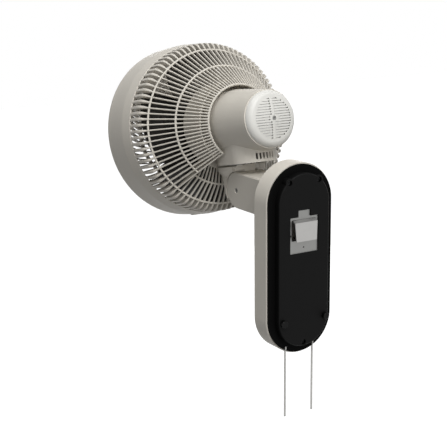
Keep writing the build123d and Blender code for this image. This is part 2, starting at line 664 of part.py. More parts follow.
# ---------------------------------------------------------------- neck
turret_deck = deck.offset(TURRET_DROP)
SWING_SPOT = (0, SWING_STATION)
PIVOT_DROP = FAN_RISE
lug_overlap = TURRET_RADIUS / 2
with BuildPart() as tilt_neck:
    # side outline: the turret's chord, narrowing into the collar round the arm's end
    with BuildSketch(side):
        with BuildLine():
            chord = sqrt(TURRET_RADIUS**2 - ARM_HALF**2)
            rear_top = (SWING_STATION - chord, -TURRET_DROP)
            front_top = (SWING_STATION + chord + 3, -TURRET_DROP)
            waist = (ARM_RADIUS + 6.5, -PIVOT_DROP + 20)
            collar_low = (ARM_RADIUS + 1.2, -PIVOT_DROP - 12)
            ThreePointArc(front_top, (ARM_RADIUS + 12.5, -TURRET_DROP - 10), waist)
            ThreePointArc(waist, (ARM_RADIUS + 5.5, -PIVOT_DROP + 2), collar_low)
            Polyline(
                collar_low,
                (0, -PIVOT_DROP),
                (SWING_STATION - chord - 4, -PIVOT_DROP + ARM_RADIUS + 2.5),
                rear_top,
                front_top,
            )
        make_face()
    extrude(amount=ARM_HALF, both=True)
    # turret under the pod, and its taper
    with BuildSketch(turret_deck):
        with Locations(SWING_SPOT):
            Circle(TURRET_RADIUS)
    extrude(amount=TURRET_HEIGHT)
    with BuildSketch(deck.offset(TURRET_DROP + TURRET_HEIGHT)):
        with Locations(SWING_SPOT):
            Circle(TURRET_RADIUS)
    extrude(amount=TURRET_TAPER, taper=38)
    # square lug on the far side
    with BuildSketch(turret_deck):
        with Locations((LUG_X + lug_overlap / 2, LUG_STATION)):
            Rectangle(2 * LUG_HALF_WIDTH + lug_overlap, 2 * LUG_HALF_WIDTH)
    extrude(amount=LUG_HEIGHT)
    # room for the round end of the arm
    with BuildSketch(side):
        with Locations((0, -PIVOT_DROP)):
            Circle(ARM_RADIUS + COLLAR_GAP)
    extrude(amount=2 * TURRET_RADIUS, both=True, mode=Mode.SUBTRACT)
    # tongue between the cheeks of the arm
    with BuildSketch(side):
        with Locations((0, -PIVOT_DROP)):
            Circle(TONGUE_RADIUS)
        with Locations((6, -TURRET_DROP - 6)):
            Rectangle(26, 12)
    extrude(amount=FORK_HALF - SLIP, both=True)
    with BuildSketch(side):
        with Locations((0, -PIVOT_DROP)):
            Circle(BOLT_RADIUS + RUN)
    extrude(amount=ARM_HALF, both=True, mode=Mode.SUBTRACT)
    # socket of the swing post
    with BuildSketch(turret_deck):
        with Locations(SWING_SPOT):
            Circle(POST_RADIUS + SEAT)
    extrude(amount=POST_SOCKET, mode=Mode.SUBTRACT)
keep(tilt_neck, "tilt_neck")

# ---------------------------------------------------------------- tilt bolt and nut
with BuildPart() as tilt_bolt:
    with BuildSketch(Plane.YZ.offset(ARM_HALF - BOLT_WELL_DEPTH)):
        with Locations((-PIVOT_DEPTH, PIVOT_Z)):
            Circle(BOLT_HEAD_RADIUS)
    extrude(amount=BOLT_HEAD_HEIGHT)
    with BuildSketch(Plane.YZ.offset(ARM_HALF - BOLT_WELL_DEPTH + BOLT_HEAD_HEIGHT)):
        with Locations((-PIVOT_DEPTH, PIVOT_Z)):
            RegularPolygon(2.5, 6)
    extrude(amount=-2.2, mode=Mode.SUBTRACT)
    with BuildSketch(Plane.YZ.offset(ARM_HALF - BOLT_WELL_DEPTH)):
        with Locations((-PIVOT_DEPTH, PIVOT_Z)):
            Circle(BOLT_RADIUS)
    extrude(amount=-(2 * ARM_HALF - BOLT_WELL_DEPTH - 1.5))
keep(tilt_bolt, "tilt_bolt")

WELL_WALL_X = -ARM_HALF + NUT_WELL_DEPTH
with BuildPart() as spring_washers:
    for layer in range(2):
        with BuildSketch(Plane.YZ.offset(WELL_WALL_X - layer * WASHER_SHEET)):
            with Locations((-PIVOT_DEPTH, PIVOT_Z)):
                Circle(WASHER_RADIUS - 0.3 * layer)
                Circle(BOLT_RADIUS + SEAT, mode=Mode.SUBTRACT)
        extrude(amount=-WASHER_SHEET)
keep(spring_washers, "spring_washers")

with BuildPart() as tilt_nut:
    with BuildSketch(Plane.YZ.offset(WELL_WALL_X - 2 * WASHER_SHEET)):
        with Locations((-PIVOT_DEPTH, PIVOT_Z)):
            RegularPolygon(NUT_FLATS / 2, 6, major_radius=False)
            Circle(BOLT_RADIUS + SEAT, mode=Mode.SUBTRACT)
    extrude(amount=-NUT_HEIGHT)
keep(tilt_nut, "tilt_nut")

# ---------------------------------------------------------------- swing post and gear
BUSH_OUTER = POST_RADIUS + RUN + BUSH_WALL
BOSS_OUTER = BUSH_OUTER + SEAT + BOSS_WALL
BOSS_TOP_DROP = POD_DROP - BUSH_LENGTH
GEAR_LOW_DROP = BOSS_TOP_DROP - 0.6
GEAR_TOP_DROP = GEAR_LOW_DROP - GEAR_WIDTH
POST_TOP_DROP = GEAR_TOP_DROP - CLIP_WIDTH - 1.0
GEAR_PITCH_RADIUS = GEAR_TEETH * GEAR_MODULE / 2
PINION_PITCH_RADIUS = PINION_TEETH * GEAR_MODULE / 2
PINION_STATION = SWING_STATION - GEAR_PITCH_RADIUS - PINION_PITCH_RADIUS

with BuildPart() as swing_post:
    with BuildSketch(deck.offset(POST_TOP_DROP)):
        with Locations(SWING_SPOT):
            Circle(POST_RADIUS)
    extrude(amount=TURRET_DROP + POST_SOCKET - POST_TOP_DROP)
keep(swing_post, "swing_post")

with BuildPart() as thrust_washer:
    with BuildSketch(deck.offset(POD_DROP + RUN)):
        with Locations(SWING_SPOT):
            Circle(WASHER_OUTER)
            Circle(POST_RADIUS + RUN, mode=Mode.SUBTRACT)
    extrude(amount=SWING_GAP - RUN)
keep(thrust_washer, "thrust_washer")

with BuildPart() as swing_gear:
    with BuildSketch(deck.offset(GEAR_TOP_DROP)):
        with Locations(SWING_SPOT):
            add(gear_outline(GEAR_TEETH, GEAR_MODULE, -90))
            Circle(POST_RADIUS + SEAT, mode=Mode.SUBTRACT)
    extrude(amount=GEAR_WIDTH)
keep(swing_gear, "swing_gear")

with BuildPart() as post_clip:
    with BuildSketch(deck.offset(GEAR_TOP_DROP - CLIP_WIDTH)):
        with Locations(SWING_SPOT):
            Circle(POST_RADIUS + 2.6)
            Circle(POST_RADIUS + SEAT, mode=Mode.SUBTRACT)
            with Locations((0, POST_RADIUS)):
                Rectangle(5, 2 * POST_RADIUS, mode=Mode.SUBTRACT)
    extrude(amount=CLIP_WIDTH)
keep(post_clip, "post_clip")

# ---------------------------------------------------------------- motor housing and pod
POD_MID = (POD_REAR_STATION + POD_FRONT_STATION) / 2
POD_RUN = POD_FRONT_STATION - POD_REAR_STATION
FRONT_BEARING_OUTER = SHAFT_RADIUS + RUN + BEARING_WALL
MOTOR_SLOPE = (MOTOR_MID_RADIUS - MOTOR_REAR_RADIUS) / -MOTOR_REAR_STATION
MOTOR_BORES = [
    (station, MOTOR_REAR_RADIUS + MOTOR_SLOPE * (station - MOTOR_REAR_STATION) - MOTOR_WALL)
    for station in (MOTOR_REAR_STATION, END_PLATE_STATION, 0)
]
with BuildPart() as motor_housing:
    with BuildSketch(deck):
        with BuildLine():
            Polyline(
                (0, MOTOR_REAR_STATION),
                (MOTOR_REAR_RADIUS, MOTOR_REAR_STATION),
                (MOTOR_MID_RADIUS, 0),
                (MOTOR_MID_RADIUS, MOTOR_FRONT_STATION - MOTOR_EDGE),
                (MOTOR_MID_RADIUS - MOTOR_EDGE, MOTOR_FRONT_STATION),
                (FRONT_BOSS_RADIUS, MOTOR_FRONT_STATION),
                (FRONT_BOSS_RADIUS, MOTOR_FRONT_STATION + FRONT_BOSS_LENGTH),
                (0, MOTOR_FRONT_STATION + FRONT_BOSS_LENGTH),
                close=True,
            )
        make_face()
    revolve(axis=fan_axis)
    # pod under the motor
    with BuildSketch(deck.offset(POD_TOP_DROP)):
        with Locations((0, POD_MID)):
            SlotCenterToCenter(POD_RUN, 2 * POD_HALF, rotation=90)
    extrude(amount=POD_DROP - POD_TOP_DROP)
    # stepped cavity of the motor, open to the rear, with a ring that seats the stator
    for bore_station, bore_radius in MOTOR_BORES:
        with BuildSketch(face_on(bore_station)):
            Circle(bore_radius)
        extrude(amount=MOTOR_FRONT_STATION - FRONT_WALL - bore_station, mode=Mode.SUBTRACT)
    with BuildSketch(face_on(-STATOR_HALF / 2)):
        Circle(MOTOR_MID_RADIUS - MOTOR_WALL / 2)
        Circle(STATOR_RADIUS + SEAT, mode=Mode.SUBTRACT)
    extrude(amount=STATOR_HALF)
    # cavity of the pod
    with BuildSketch(deck.offset(POD_TOP_DROP)):
        with Locations((0, POD_MID)):
            SlotCenterToCenter(POD_RUN, 2 * (POD_HALF - POD_WALL), rotation=90)
    extrude(amount=POD_DROP - POD_WALL - POD_TOP_DROP, mode=Mode.SUBTRACT)
    # bearing seat through the front boss
    with BuildSketch(face_on(MOTOR_FRONT_STATION - FRONT_WALL)):
        Circle(FRONT_BEARING_OUTER + SEAT)
    extrude(amount=FRONT_WALL + FRONT_BOSS_LENGTH, mode=Mode.SUBTRACT)
    # boss of the swing bush, and the two posts that carry the swing motor
    with BuildSketch(deck.offset(BOSS_TOP_DROP)):
        with Locations(SWING_SPOT):
            Circle(BOSS_OUTER)
    extrude(amount=BUSH_LENGTH - 0.5)
    with BuildSketch(deck.offset(POST_TOP_DROP)):
        with Locations((-EAR_X, PINION_STATION), (EAR_X, PINION_STATION)):
            Circle(EAR_RADIUS)
    extrude(amount=POD_DROP - POD_WALL / 2 - POST_TOP_DROP)
    with BuildSketch(deck.offset(BOSS_TOP_DROP)):
        with Locations(SWING_SPOT):
            Circle(BUSH_OUTER + SEAT)
    extrude(amount=BUSH_LENGTH, mode=Mode.SUBTRACT)
    # vents round the rear of the pod
    vent_span = (VENT_COUNT - 1) * VENT_PITCH
    with BuildSketch(deck.offset(VENT_TOP_DROP)):
        with Locations((0, POD_REAR_STATION)):
            with PolarLocations(
                POD_HALF - POD_WALL / 2,
                VENT_COUNT,
                start_angle=-90 - vent_span / 2,
                angular_range=vent_span,
                endpoint=True,
            ):
                Rectangle(3 * POD_WALL, VENT_WIDTH)
    extrude(amount=VENT_HEIGHT, mode=Mode.SUBTRACT)
keep(motor_housing, "motor_housing")

with BuildPart() as swing_bush:
    with BuildSketch(deck.offset(BOSS_TOP_DROP)):
        with Locations(SWING_SPOT):
            Circle(BUSH_OUTER)
            Circle(POST_RADIUS + RUN, mode=Mode.SUBTRACT)
    extrude(amount=BUSH_LENGTH)
keep(swing_bush, "swing_bush")

with BuildPart() as swing_motor:
    with BuildSketch(deck.offset(POST_TOP_DROP - SWING_MOTOR_HEIGHT)):
        with Locations((0, PINION_STATION)):
            Circle(SWING_MOTOR_RADIUS)
    extrude(amount=SWING_MOTOR_HEIGHT)
    with BuildSketch(deck.offset(POST_TOP_DROP - EAR_SHEET)):
        with Locations((0, PINION_STATION)):
            Rectangle(2 * (EAR_X + EAR_RADIUS - 1), 2 * EAR_RADIUS - 1)
    extrude(amount=EAR_SHEET)
    with BuildSketch(deck.offset(POST_TOP_DROP - 4)):
        with Locations((0, PINION_STATION)):
            Circle(2 + RUN)
    extrude(amount=4, mode=Mode.SUBTRACT)
keep(swing_motor, "swing_motor")

with BuildPart() as swing_pinion:
    with BuildSketch(deck.offset(GEAR_TOP_DROP)):
        with Locations((0, PINION_STATION)):
            add(gear_outline(PINION_TEETH, GEAR_MODULE, 90 + 180 / PINION_TEETH))
    extrude(amount=GEAR_WIDTH)
    with BuildSketch(deck.offset(POST_TOP_DROP - 3.5)):
        with Locations((0, PINION_STATION)):
            Circle(2)
    extrude(amount=GEAR_TOP_DROP - POST_TOP_DROP + 3.5)
keep(swing_pinion, "swing_pinion")

# ---------------------------------------------------------------- motor inside
with BuildPart() as stator_core:
    with BuildSketch(face_on(-STATOR_HALF)):
        Circle(STATOR_RADIUS)
        Circle(STATOR_BORE, mode=Mode.SUBTRACT)
    extrude(amount=2 * STATOR_HALF)
keep(stator_core, "stator_core")

with BuildPart() as stator_windings:
    with BuildSketch(face_on(-STATOR_HALF - WINDING_LENGTH)):
        Circle(WINDING_RADIUS)
        Circle(STATOR_BORE + 3, mode=Mode.SUBTRACT)
    extrude(amount=WINDING_LENGTH)
    with BuildSketch(face_on(STATOR_HALF)):
        Circle(WINDING_RADIUS)
        Circle(STATOR_BORE + 3, mode=Mode.SUBTRACT)
    extrude(amount=WINDING_LENGTH)
keep(stator_windings, "stator_windings")

PLATE_RADIUS = MOTOR_BORES[0][1] - SLIP
with BuildPart() as end_plate:
    with BuildSketch(face_on(END_PLATE_STATION - END_PLATE_SHEET)):
        Circle(PLATE_RADIUS)
    extrude(amount=END_PLATE_SHEET)
    with BuildSketch(face_on(END_PLATE_STATION)):
        Circle(FRONT_BEARING_OUTER + 3)
    extrude(amount=BEARING_LENGTH - END_PLATE_SHEET)
    with BuildSketch(face_on(END_PLATE_STATION - END_PLATE_SHEET)):
        Circle(FRONT_BEARING_OUTER + SEAT)
    extrude(amount=BEARING_LENGTH, mode=Mode.SUBTRACT)
    # column that the cap screw bites into
    with BuildSketch(face_on(END_PLATE_STATION - END_PLATE_SHEET)):
        with Locations((0, 0)):
            Circle(FRONT_BEARING_OUTER + 3)
    extrude(amount=-(END_PLATE_STATION - END_PLATE_SHEET - MOTOR_REAR_STATION + CAP_DEPTH - 10))
    with BuildSketch(face_on(END_PLATE_STATION - END_PLATE_SHEET)):
        Circle(SHAFT_RADIUS + 1)
    extrude(amount=-9, mode=Mode.SUBTRACT)
    with BuildSketch(face_on(MOTOR_REAR_STATION - CAP_DEPTH + 10)):
        Circle(CAP_SCREW_RADIUS + SEAT)
    extrude(amount=16, mode=Mode.SUBTRACT)
keep(end_plate, "end_plate")

with BuildPart() as shaft_bearings:
    for bearing_station in (
        END_PLATE_STATION - END_PLATE_SHEET,
        MOTOR_FRONT_STATION + FRONT_BOSS_LENGTH - BEARING_LENGTH - 1,
    ):
        with BuildSketch(face_on(bearing_station)):
            Circle(FRONT_BEARING_OUTER)
            Circle(SHAFT_RADIUS + RUN, mode=Mode.SUBTRACT)
        extrude(amount=BEARING_LENGTH)
keep(shaft_bearings, "shaft_bearings")

with BuildPart() as motor_shaft:
    with BuildSketch(face_on(SHAFT_REAR_STATION)):
        Circle(SHAFT_RADIUS)
    extrude(amount=SHAFT_FRONT_STATION - SHAFT_REAR_STATION)
keep(motor_shaft, "motor_shaft")

with BuildPart() as rotor_core:
    with BuildSketch(face_on(-STATOR_HALF - 2)):
        Circle(STATOR_BORE - ROTOR_GAP)
        Circle(SHAFT_RADIUS + SEAT, mode=Mode.SUBTRACT)
    extrude(amount=2 * (STATOR_HALF + 2))
keep(rotor_core, "rotor_core")

# ---------------------------------------------------------------- rear cap
CAP_FACE_STATION = MOTOR_REAR_STATION - CAP_DEPTH
with BuildPart() as motor_cap:
    with BuildSketch(deck):
        with BuildLine():
            edge_low = (CAP_RADIUS - CAP_STEP, MOTOR_REAR_STATION)
            edge_high = (CAP_RADIUS - CAP_STEP, CAP_FACE_STATION + 9)
            bevel_top = (CAP_FACE_RADIUS, CAP_FACE_STATION + 1.2)
            Polyline(
                (0, MOTOR_REAR_STATION),
                edge_low,
                edge_high,
                (CAP_RADIUS - 2.9, CAP_FACE_STATION + 4.2),
                bevel_top,
                (CAP_FACE_RADIUS - 2, CAP_FACE_STATION),
                (0, CAP_FACE_STATION),
                (0, MOTOR_REAR_STATION),
            )
        make_face()
    revolve(axis=fan_axis)
    with BuildSketch(face_on(MOTOR_REAR_STATION)):
        Circle(CAP_RADIUS - CAP_STEP - CAP_WALL)
    extrude(amount=-(CAP_DEPTH - 5.5), mode=Mode.SUBTRACT)
    with BuildSketch(face_on(MOTOR_REAR_STATION)):
        Circle(CAP_FACE_RADIUS - 1)
    extrude(amount=-(CAP_DEPTH - CAP_WALL), mode=Mode.SUBTRACT)
    # centre boss with the well of its screw
    with BuildSketch(face_on(CAP_FACE_STATION)):
        Circle(CAP_BOSS_RADIUS)
    extrude(amount=10)
    with BuildSketch(face_on(CAP_FACE_STATION)):
        Circle(CAP_WELL_RADIUS)
    extrude(amount=CAP_WELL_DEPTH, mode=Mode.SUBTRACT)
    with BuildSketch(face_on(CAP_FACE_STATION)):
        Circle(CAP_SCREW_RADIUS + SLIP)
    extrude(amount=10, mode=Mode.SUBTRACT)
    # two columns of slits inside a circle
    with BuildSketch(face_on(CAP_FACE_STATION)):
        for row in range(GRILLE_ROWS):
            height = (row - (GRILLE_ROWS - 1) / 2) * GRILLE_PITCH
            reach = sqrt(GRILLE_RADIUS**2 - min(abs(height), GRILLE_RADIUS - 2) ** 2)
            length = max(reach - GRILLE_RIB_HALF, 3 * SLIT_HEIGHT)
            middle = GRILLE_RIB_HALF + length / 2
            with Locations((-middle, height), (middle, height)):
                Rectangle(length, SLIT_HEIGHT)
    extrude(amount=CAP_WALL, mode=Mode.SUBTRACT)
keep(motor_cap, "motor_cap")

with BuildPart() as cap_screw:
    with BuildSketch(face_on(CAP_FACE_STATION + CAP_WELL_DEPTH)):
        Circle(CAP_SCREW_HEAD)
    extrude(amount=-2)
    with BuildSketch(face_on(CAP_FACE_STATION + CAP_WELL_DEPTH - 2)):
        Rectangle(3.4, 0.9)
        Rectangle(0.9, 3.4)
    extrude(amount=1.2, mode=Mode.SUBTRACT)
    with BuildSketch(face_on(CAP_FACE_STATION + CAP_WELL_DEPTH)):
        Circle(CAP_SCREW_RADIUS)
    extrude(amount=16)
keep(cap_screw, "cap_screw")

# ---------------------------------------------------------------- rear guard
SPOKE_STEP = 360 / SPOKES
POCKET_HALF = SPOKE_STEP * (POCKET_SPOKES + 1) / 2
SLOPE = sqrt((OUTER_RADIUS - INNER_RADIUS) ** 2 + OUTER_STATION**2)
NORMAL_R = OUTER_STATION / SLOPE
NORMAL_S = (OUTER_RADIUS - INNER_RADIUS) / SLOPE
HUB_STATION = FLOOR_STATION
BAND_LEAN = (BAND_RADIUS - SHOULDER_RADIUS) / (BAND_STATION - SHOULDER_STATION)
SKIRT_RADIUS = BAND_RADIUS - BAND_LEAN * (BAND_STATION - SKIRT_STATION) - SKIRT_SINK
HUB_SLOPE = HUB_RADIUS - INNER_RADIUS
HUB_CONE_STATION = MID_STATION * HUB_SLOPE / (MID_RADIUS - INNER_RADIUS)


def shoulder_profile():
    """Edge of a spoke from the outer ring round the shoulder, into the band and back."""
    return [
        (OUTER_RADIUS, OUTER_STATION),
        (SHOULDER_RADIUS, SHOULDER_STATION),
        (BAND_RADIUS - SLIP, BAND_STATION),
        (BAND_RADIUS - BAND_SHEET + SLIP, BAND_STATION),
        (SHOULDER_RADIUS - SHOULDER_DEPTH, SHOULDER_STATION + SHOULDER_DEPTH / 2),
        (OUTER_RADIUS - NORMAL_R * SPOKE_DEPTH, OUTER_STATION + NORMAL_S * SPOKE_DEPTH),
    ]


def spoke(outline, angle):
    """One flat spoke from its outline, radius against station, at an angle."""
    with BuildPart() as bar:
        with BuildSketch(radial(angle)):
            with BuildLine():
                Polyline(*outline, close=True)
            make_face()
        extrude(amount=SPOKE_WIDTH / 2, both=True)
    return bar.part


def ring_bar(radius, station, lean, angle):
    """Straight bar of a ring, from spoke to spoke, just below their outer edge."""
    with BuildPart() as bar:
        with BuildSketch(radial(angle)):
            with Locations(Location((radius, station, 0), (0, 0, lean))):
                with Locations((0, RING_SINK + RING_WIDTH / 2)):
                    Rectangle(RING_WIDTH, RING_WIDTH)
        extrude(amount=radius * sin(radians(SPOKE_STEP / 2)), both=True)
    return bar.part


# the spokes start just behind the inner ring
lead = RING_WIDTH / 2 + RING_SINK
start = (INNER_RADIUS - NORMAL_S * lead, -NORMAL_R * lead)
start_inner = (start[0] - NORMAL_R * SPOKE_DEPTH, start[1] + NORMAL_S * SPOKE_DEPTH)
mid_inner = (MID_RADIUS - NORMAL_R * SPOKE_DEPTH, MID_STATION + NORMAL_S * SPOKE_DEPTH)
outer_outline = [start_inner, start, (MID_RADIUS, MID_STATION), *shoulder_profile()]
full_outline = [*outer_outline, mid_inner]
HUB_GRIP = HUB_RADIUS - RIM_WALL / 2
pocket_root = [
    (FLOOR_RADIUS - 1, FLOOR_STATION + SPOKE_DEPTH),
    (HUB_GRIP, FLOOR_STATION + HUB_SHEET),
]
pocket_outline = [
    (HUB_GRIP, FLOOR_STATION),
    (FLOOR_RADIUS, FLOOR_STATION),
    *shoulder_profile(),
    *pocket_root,
]
web_outline = outer_outline + pocket_root + [(HUB_GRIP, HUB_CONE_STATION + SPOKE_DEPTH + 4)]

full_spokes = SPOKES - POCKET_SPOKES
web_places = (0, full_spokes - 1)
lattice = [
    spoke(web_outline if index in web_places else full_outline, POCKET_HALF + index * SPOKE_STEP)
    for index in range(full_spokes)
]
lattice += [
    spoke(pocket_outline, -POCKET_HALF + (index + 1) * SPOKE_STEP)
    for index in range(POCKET_SPOKES)
]
slope_lean = degrees(atan2(MID_STATION, MID_RADIUS - INNER_RADIUS))
shoulder_lean = 45.0
rings = [
    (INNER_RADIUS, 0, slope_lean, POCKET_HALF, full_spokes - 1),
    (MID_RADIUS, MID_STATION, slope_lean, POCKET_HALF, full_spokes - 1),
    (OUTER_RADIUS, OUTER_STATION, shoulder_lean, POCKET_HALF, SPOKES),
    (FLOOR_RADIUS - RING_WIDTH, FLOOR_STATION, 0, -POCKET_HALF, POCKET_SPOKES + 1),
]
for ring_radius, ring_station, lean, first_angle, bars in rings:
    lattice += [
        ring_bar(ring_radius, ring_station, lean, first_angle + (index + 0.5) * SPOKE_STEP)
        for index in range(bars)
    ]

with BuildPart() as rear_guard:
    # hub plate and the rim that stands on it, open over the pocket
    with BuildSketch(face_on(HUB_STATION)):
        Circle(HUB_RADIUS)
        Circle(FRONT_BOSS_RADIUS + SLIP, mode=Mode.SUBTRACT)
    extrude(amount=HUB_SHEET)
    with BuildSketch(radial(POCKET_HALF)):
        with Locations((HUB_RADIUS, HUB_CONE_STATION + 4)):
            Rectangle(
                RIM_WALL, HUB_STATION + HUB_SHEET - HUB_CONE_STATION - 4, align=(Align.MAX, Align.MIN)
            )
    revolve(axis=fan_axis, revolution_arc=360 - 2 * POCKET_HALF)
    # smooth band all the way round, and the skirt that closes the gaps behind it
    with BuildSketch(deck):
        with BuildLine():
            Polyline(
                (SKIRT_RADIUS, SKIRT_STATION),
                (BAND_RADIUS, BAND_STATION),
                (BAND_RADIUS, SEAM_STATION),
                (BAND_RADIUS - BAND_SHEET, SEAM_STATION),
                (BAND_RADIUS - BAND_SHEET, BAND_STATION),
                (SKIRT_RADIUS - BAND_SHEET, SKIRT_STATION),
                close=True,
            )
        make_face()
    revolve(axis=fan_axis)
    add(lattice)
keep(rear_guard, "rear_guard")

with BuildPart() as lock_nut:
    with BuildSketch(face_on(HUB_STATION + HUB_SHEET)):
        Circle(LOCK_NUT_RADIUS)
        with PolarLocations(LOCK_NUT_RADIUS, 6):
            Rectangle(5, 7, mode=Mode.SUBTRACT)
        Circle(FRONT_BOSS_RADIUS + SEAT, mode=Mode.SUBTRACT)
    extrude(amount=LOCK_NUT_LENGTH)
keep(lock_nut, "lock_nut")

# ---------------------------------------------------------------- front guard
RIM_INNER = BAND_RADIUS - RIM_WIDTH
LAP_RADIUS = BAND_RADIUS - BAND_SHEET - SLIP
RIM_BORE = LAP_RADIUS - RIM_WALL
with BuildPart() as front_rim:
    # rim that laps inside the band, with a flange in front of the grille
    with BuildSketch(deck):
        with BuildLine():
            Polyline(
                (BAND_RADIUS, SEAM_STATION),
                (BAND_RADIUS, GUARD_STATION - RIM_EDGE),
                (BAND_RADIUS - RIM_EDGE, GUARD_STATION),
                (RIM_INNER, GUARD_STATION),
                (RIM_INNER, GUARD_STATION - RIM_WALL),
                (RIM_BORE, GUARD_STATION - RIM_WALL),
                (RIM_BORE, SEAM_STATION - GUARD_LAP),
                (LAP_RADIUS, SEAM_STATION - GUARD_LAP),
                (LAP_RADIUS, SEAM_STATION),
                close=True,
            )
        make_face()
    revolve(axis=fan_axis)
keep(front_rim, "front_rim")

GRILLE_OUTER = RIM_BORE - SEAT
RIB_FRONT = GUARD_STATION - RIM_WALL - SEAT
rib_start = Vector(CENTRE_RADIUS - RIB_WIDTH / 2, 0)
rib_end = Vector(GRILLE_OUTER - RIM_WALL / 2, 0).rotate(Axis.Z, RIB_SWIRL)
rib_middle = Vector((CENTRE_RADIUS + GRILLE_OUTER) / 2, 0).rotate(Axis.Z, RIB_BOW)
with BuildSketch() as swirl_rib:
    with BuildLine():
        ThreePointArc(rib_start, rib_middle, rib_end)
    trace(line_width=RIB_WIDTH)

with BuildSketch() as swirl_ring:
    Circle(FRONT_RING_RADIUS + RIB_WIDTH / 2)
    Circle(FRONT_RING_RADIUS - RIB_WIDTH / 2, mode=Mode.SUBTRACT)

with BuildPart() as front_guard:
    with BuildSketch(face_on(RIB_FRONT - RIB_DEPTH)):
        Circle(CENTRE_RADIUS)
    extrude(amount=RIB_DEPTH)
    # outer ring inside the rim, the ring that ties the ribs, and the swirling ribs
    with BuildSketch(face_on(RIB_FRONT - RIB_DEPTH)):
        Circle(GRILLE_OUTER)
        Circle(GRILLE_OUTER - RIM_WALL, mode=Mode.SUBTRACT)
        add(swirl_ring.sketch)
        with PolarLocations(0, FRONT_RIBS):
            add(swirl_rib.sketch)
    extrude(amount=RIB_DEPTH)
keep(front_guard, "front_guard")

with BuildPart() as guard_clip:
    clip_width, clip_sheet, clip_length = CLIP_SIZE
    with BuildSketch(radial(0)):
        with Locations((BAND_RADIUS + clip_sheet / 2 + SLIP, SEAM_STATION)):
            Rectangle(clip_sheet, clip_length)
    extrude(amount=clip_width / 2, both=True)
keep(guard_clip, "guard_clip")

# ---------------------------------------------------------------- fan wheel
BLADE_MID_STATION = BLADE_HUB_STATION + BLADE_HUB_LENGTH / 2 + BLADE_LEAD


def blade(angle):
    """One pitched and cambered blade, trimmed to its sickle outline."""
    out = across * sin(radians(angle)) - upward * cos(radians(angle))
    spin = out.cross(forward)
    root = Plane(
        origin=head_origin + out * (BLADE_HUB_RADIUS - 1.2) + forward * BLADE_MID_STATION,
        x_dir=spin,
        z_dir=out,
    )
    outline_plane = Plane(origin=head_origin + forward * BLADE_HUB_STATION, x_dir=out, z_dir=forward)
    half = BLADE_CHORD / 2
    with BuildPart() as vane:
        with BuildSketch(root):
            with BuildLine():
                tail = Vector(-half, 0).rotate(Axis.Z, BLADE_PITCH)
                nose = Vector(half, 0).rotate(Axis.Z, BLADE_PITCH)
                tail_up = tail + Vector(0, BLADE_SHEET)
                nose_up = nose + Vector(0, BLADE_SHEET)
                crown = Vector(0, BLADE_CAMBER).rotate(Axis.Z, BLADE_PITCH)
                ThreePointArc(tail, crown, nose)
                Line(nose, nose_up)
                ThreePointArc(nose_up, crown + Vector(0, BLADE_SHEET), tail_up)
                Line(tail_up, tail)
            make_face()
        extrude(amount=BLADE_TIP_RADIUS)
        with BuildSketch(outline_plane):
            with BuildLine():
                root_back = (BLADE_HUB_RADIUS - 3, -0.45 * half)
                root_front = (BLADE_HUB_RADIUS - 3, 0.45 * half)
                tip_front = (0.72 * BLADE_TIP_RADIUS, 0.92 * half)
                tip_back = (0.84 * BLADE_TIP_RADIUS, -0.72 * half)
                Line(root_back, root_front)
                ThreePointArc(root_front, (0.45 * BLADE_TIP_RADIUS, 0.86 * half), tip_front)
                ThreePointArc(tip_front, (BLADE_TIP_RADIUS, 0.12 * half), tip_back)
                ThreePointArc(tip_back, (0.55 * BLADE_TIP_RADIUS, -0.66 * half), root_back)
            make_face()
        extrude(amount=2 * BLADE_HUB_LENGTH + BLADE_CHORD, both=True, mode=Mode.INTERSECT)
    return vane.part


blades = [blade(20 + index * 360 / BLADES) for index in range(BLADES)]
with BuildPart() as fan_blade:
    with BuildSketch(deck):
        with BuildLine():
            Polyline(
                (SHAFT_RADIUS + SEAT, BLADE_HUB_STATION),
                (SHAFT_RADIUS + 4, BLADE_HUB_STATION),
                (SHAFT_RADIUS + 4, BLADE_HUB_STATION + BLADE_HUB_LENGTH - 6),
                (BLADE_HUB_RADIUS - BLADE_WALL, BLADE_HUB_STATION + BLADE_HUB_LENGTH - 6),
                (BLADE_HUB_RADIUS - BLADE_WALL, BLADE_HUB_STATION),
                (BLADE_HUB_RADIUS, BLADE_HUB_STATION),
                (BLADE_HUB_RADIUS, BLADE_HUB_STATION + BLADE_HUB_LENGTH - 6),
                (BLADE_HUB_RADIUS - 6, BLADE_HUB_STATION + BLADE_HUB_LENGTH),
                (SHAFT_RADIUS + SEAT, BLADE_HUB_STATION + BLADE_HUB_LENGTH),
                close=True,
            )
        make_face()
    revolve(axis=fan_axis)
    add(blades)
keep(fan_blade, "fan_blade")

with BuildPart() as spinner_nut:
    with BuildSketch(deck):
        with BuildLine():
            base_station = BLADE_HUB_STATION + BLADE_HUB_LENGTH
            skirt_station = base_station + SPINNER_SKIRT
            Polyline(
                (0, SHAFT_FRONT_STATION),
                (SHAFT_RADIUS + SEAT, SHAFT_FRONT_STATION),
                (SHAFT_RADIUS + SEAT, base_station),
                (SPINNER_RADIUS, base_station),
                (SPINNER_RADIUS, skirt_station),
                (0.7 * SPINNER_RADIUS, skirt_station + 0.7 * SPINNER_RADIUS),
                (0, skirt_station + 0.7 * SPINNER_RADIUS),
                close=True,
            )
        make_face()
    revolve(axis=fan_axis)
keep(spinner_nut, "spinner_nut")
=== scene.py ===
"""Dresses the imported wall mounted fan: moulded edges, guard lattice, blades and finishes.

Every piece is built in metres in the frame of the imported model. Sizes are written in
millimetres, as a maker gives them, and turned into metres where a mesh is made. The head
has a frame of its own, read from the joints: x across, y up and z forward along the fan
axis. A station is a distance along that axis, forward of the inner ring of the guard. An
outline is a row of points, each with its radius and its station.
"""

import json
import logging
import math
from dataclasses import dataclass
from enum import Enum
from typing import Callable, Sequence

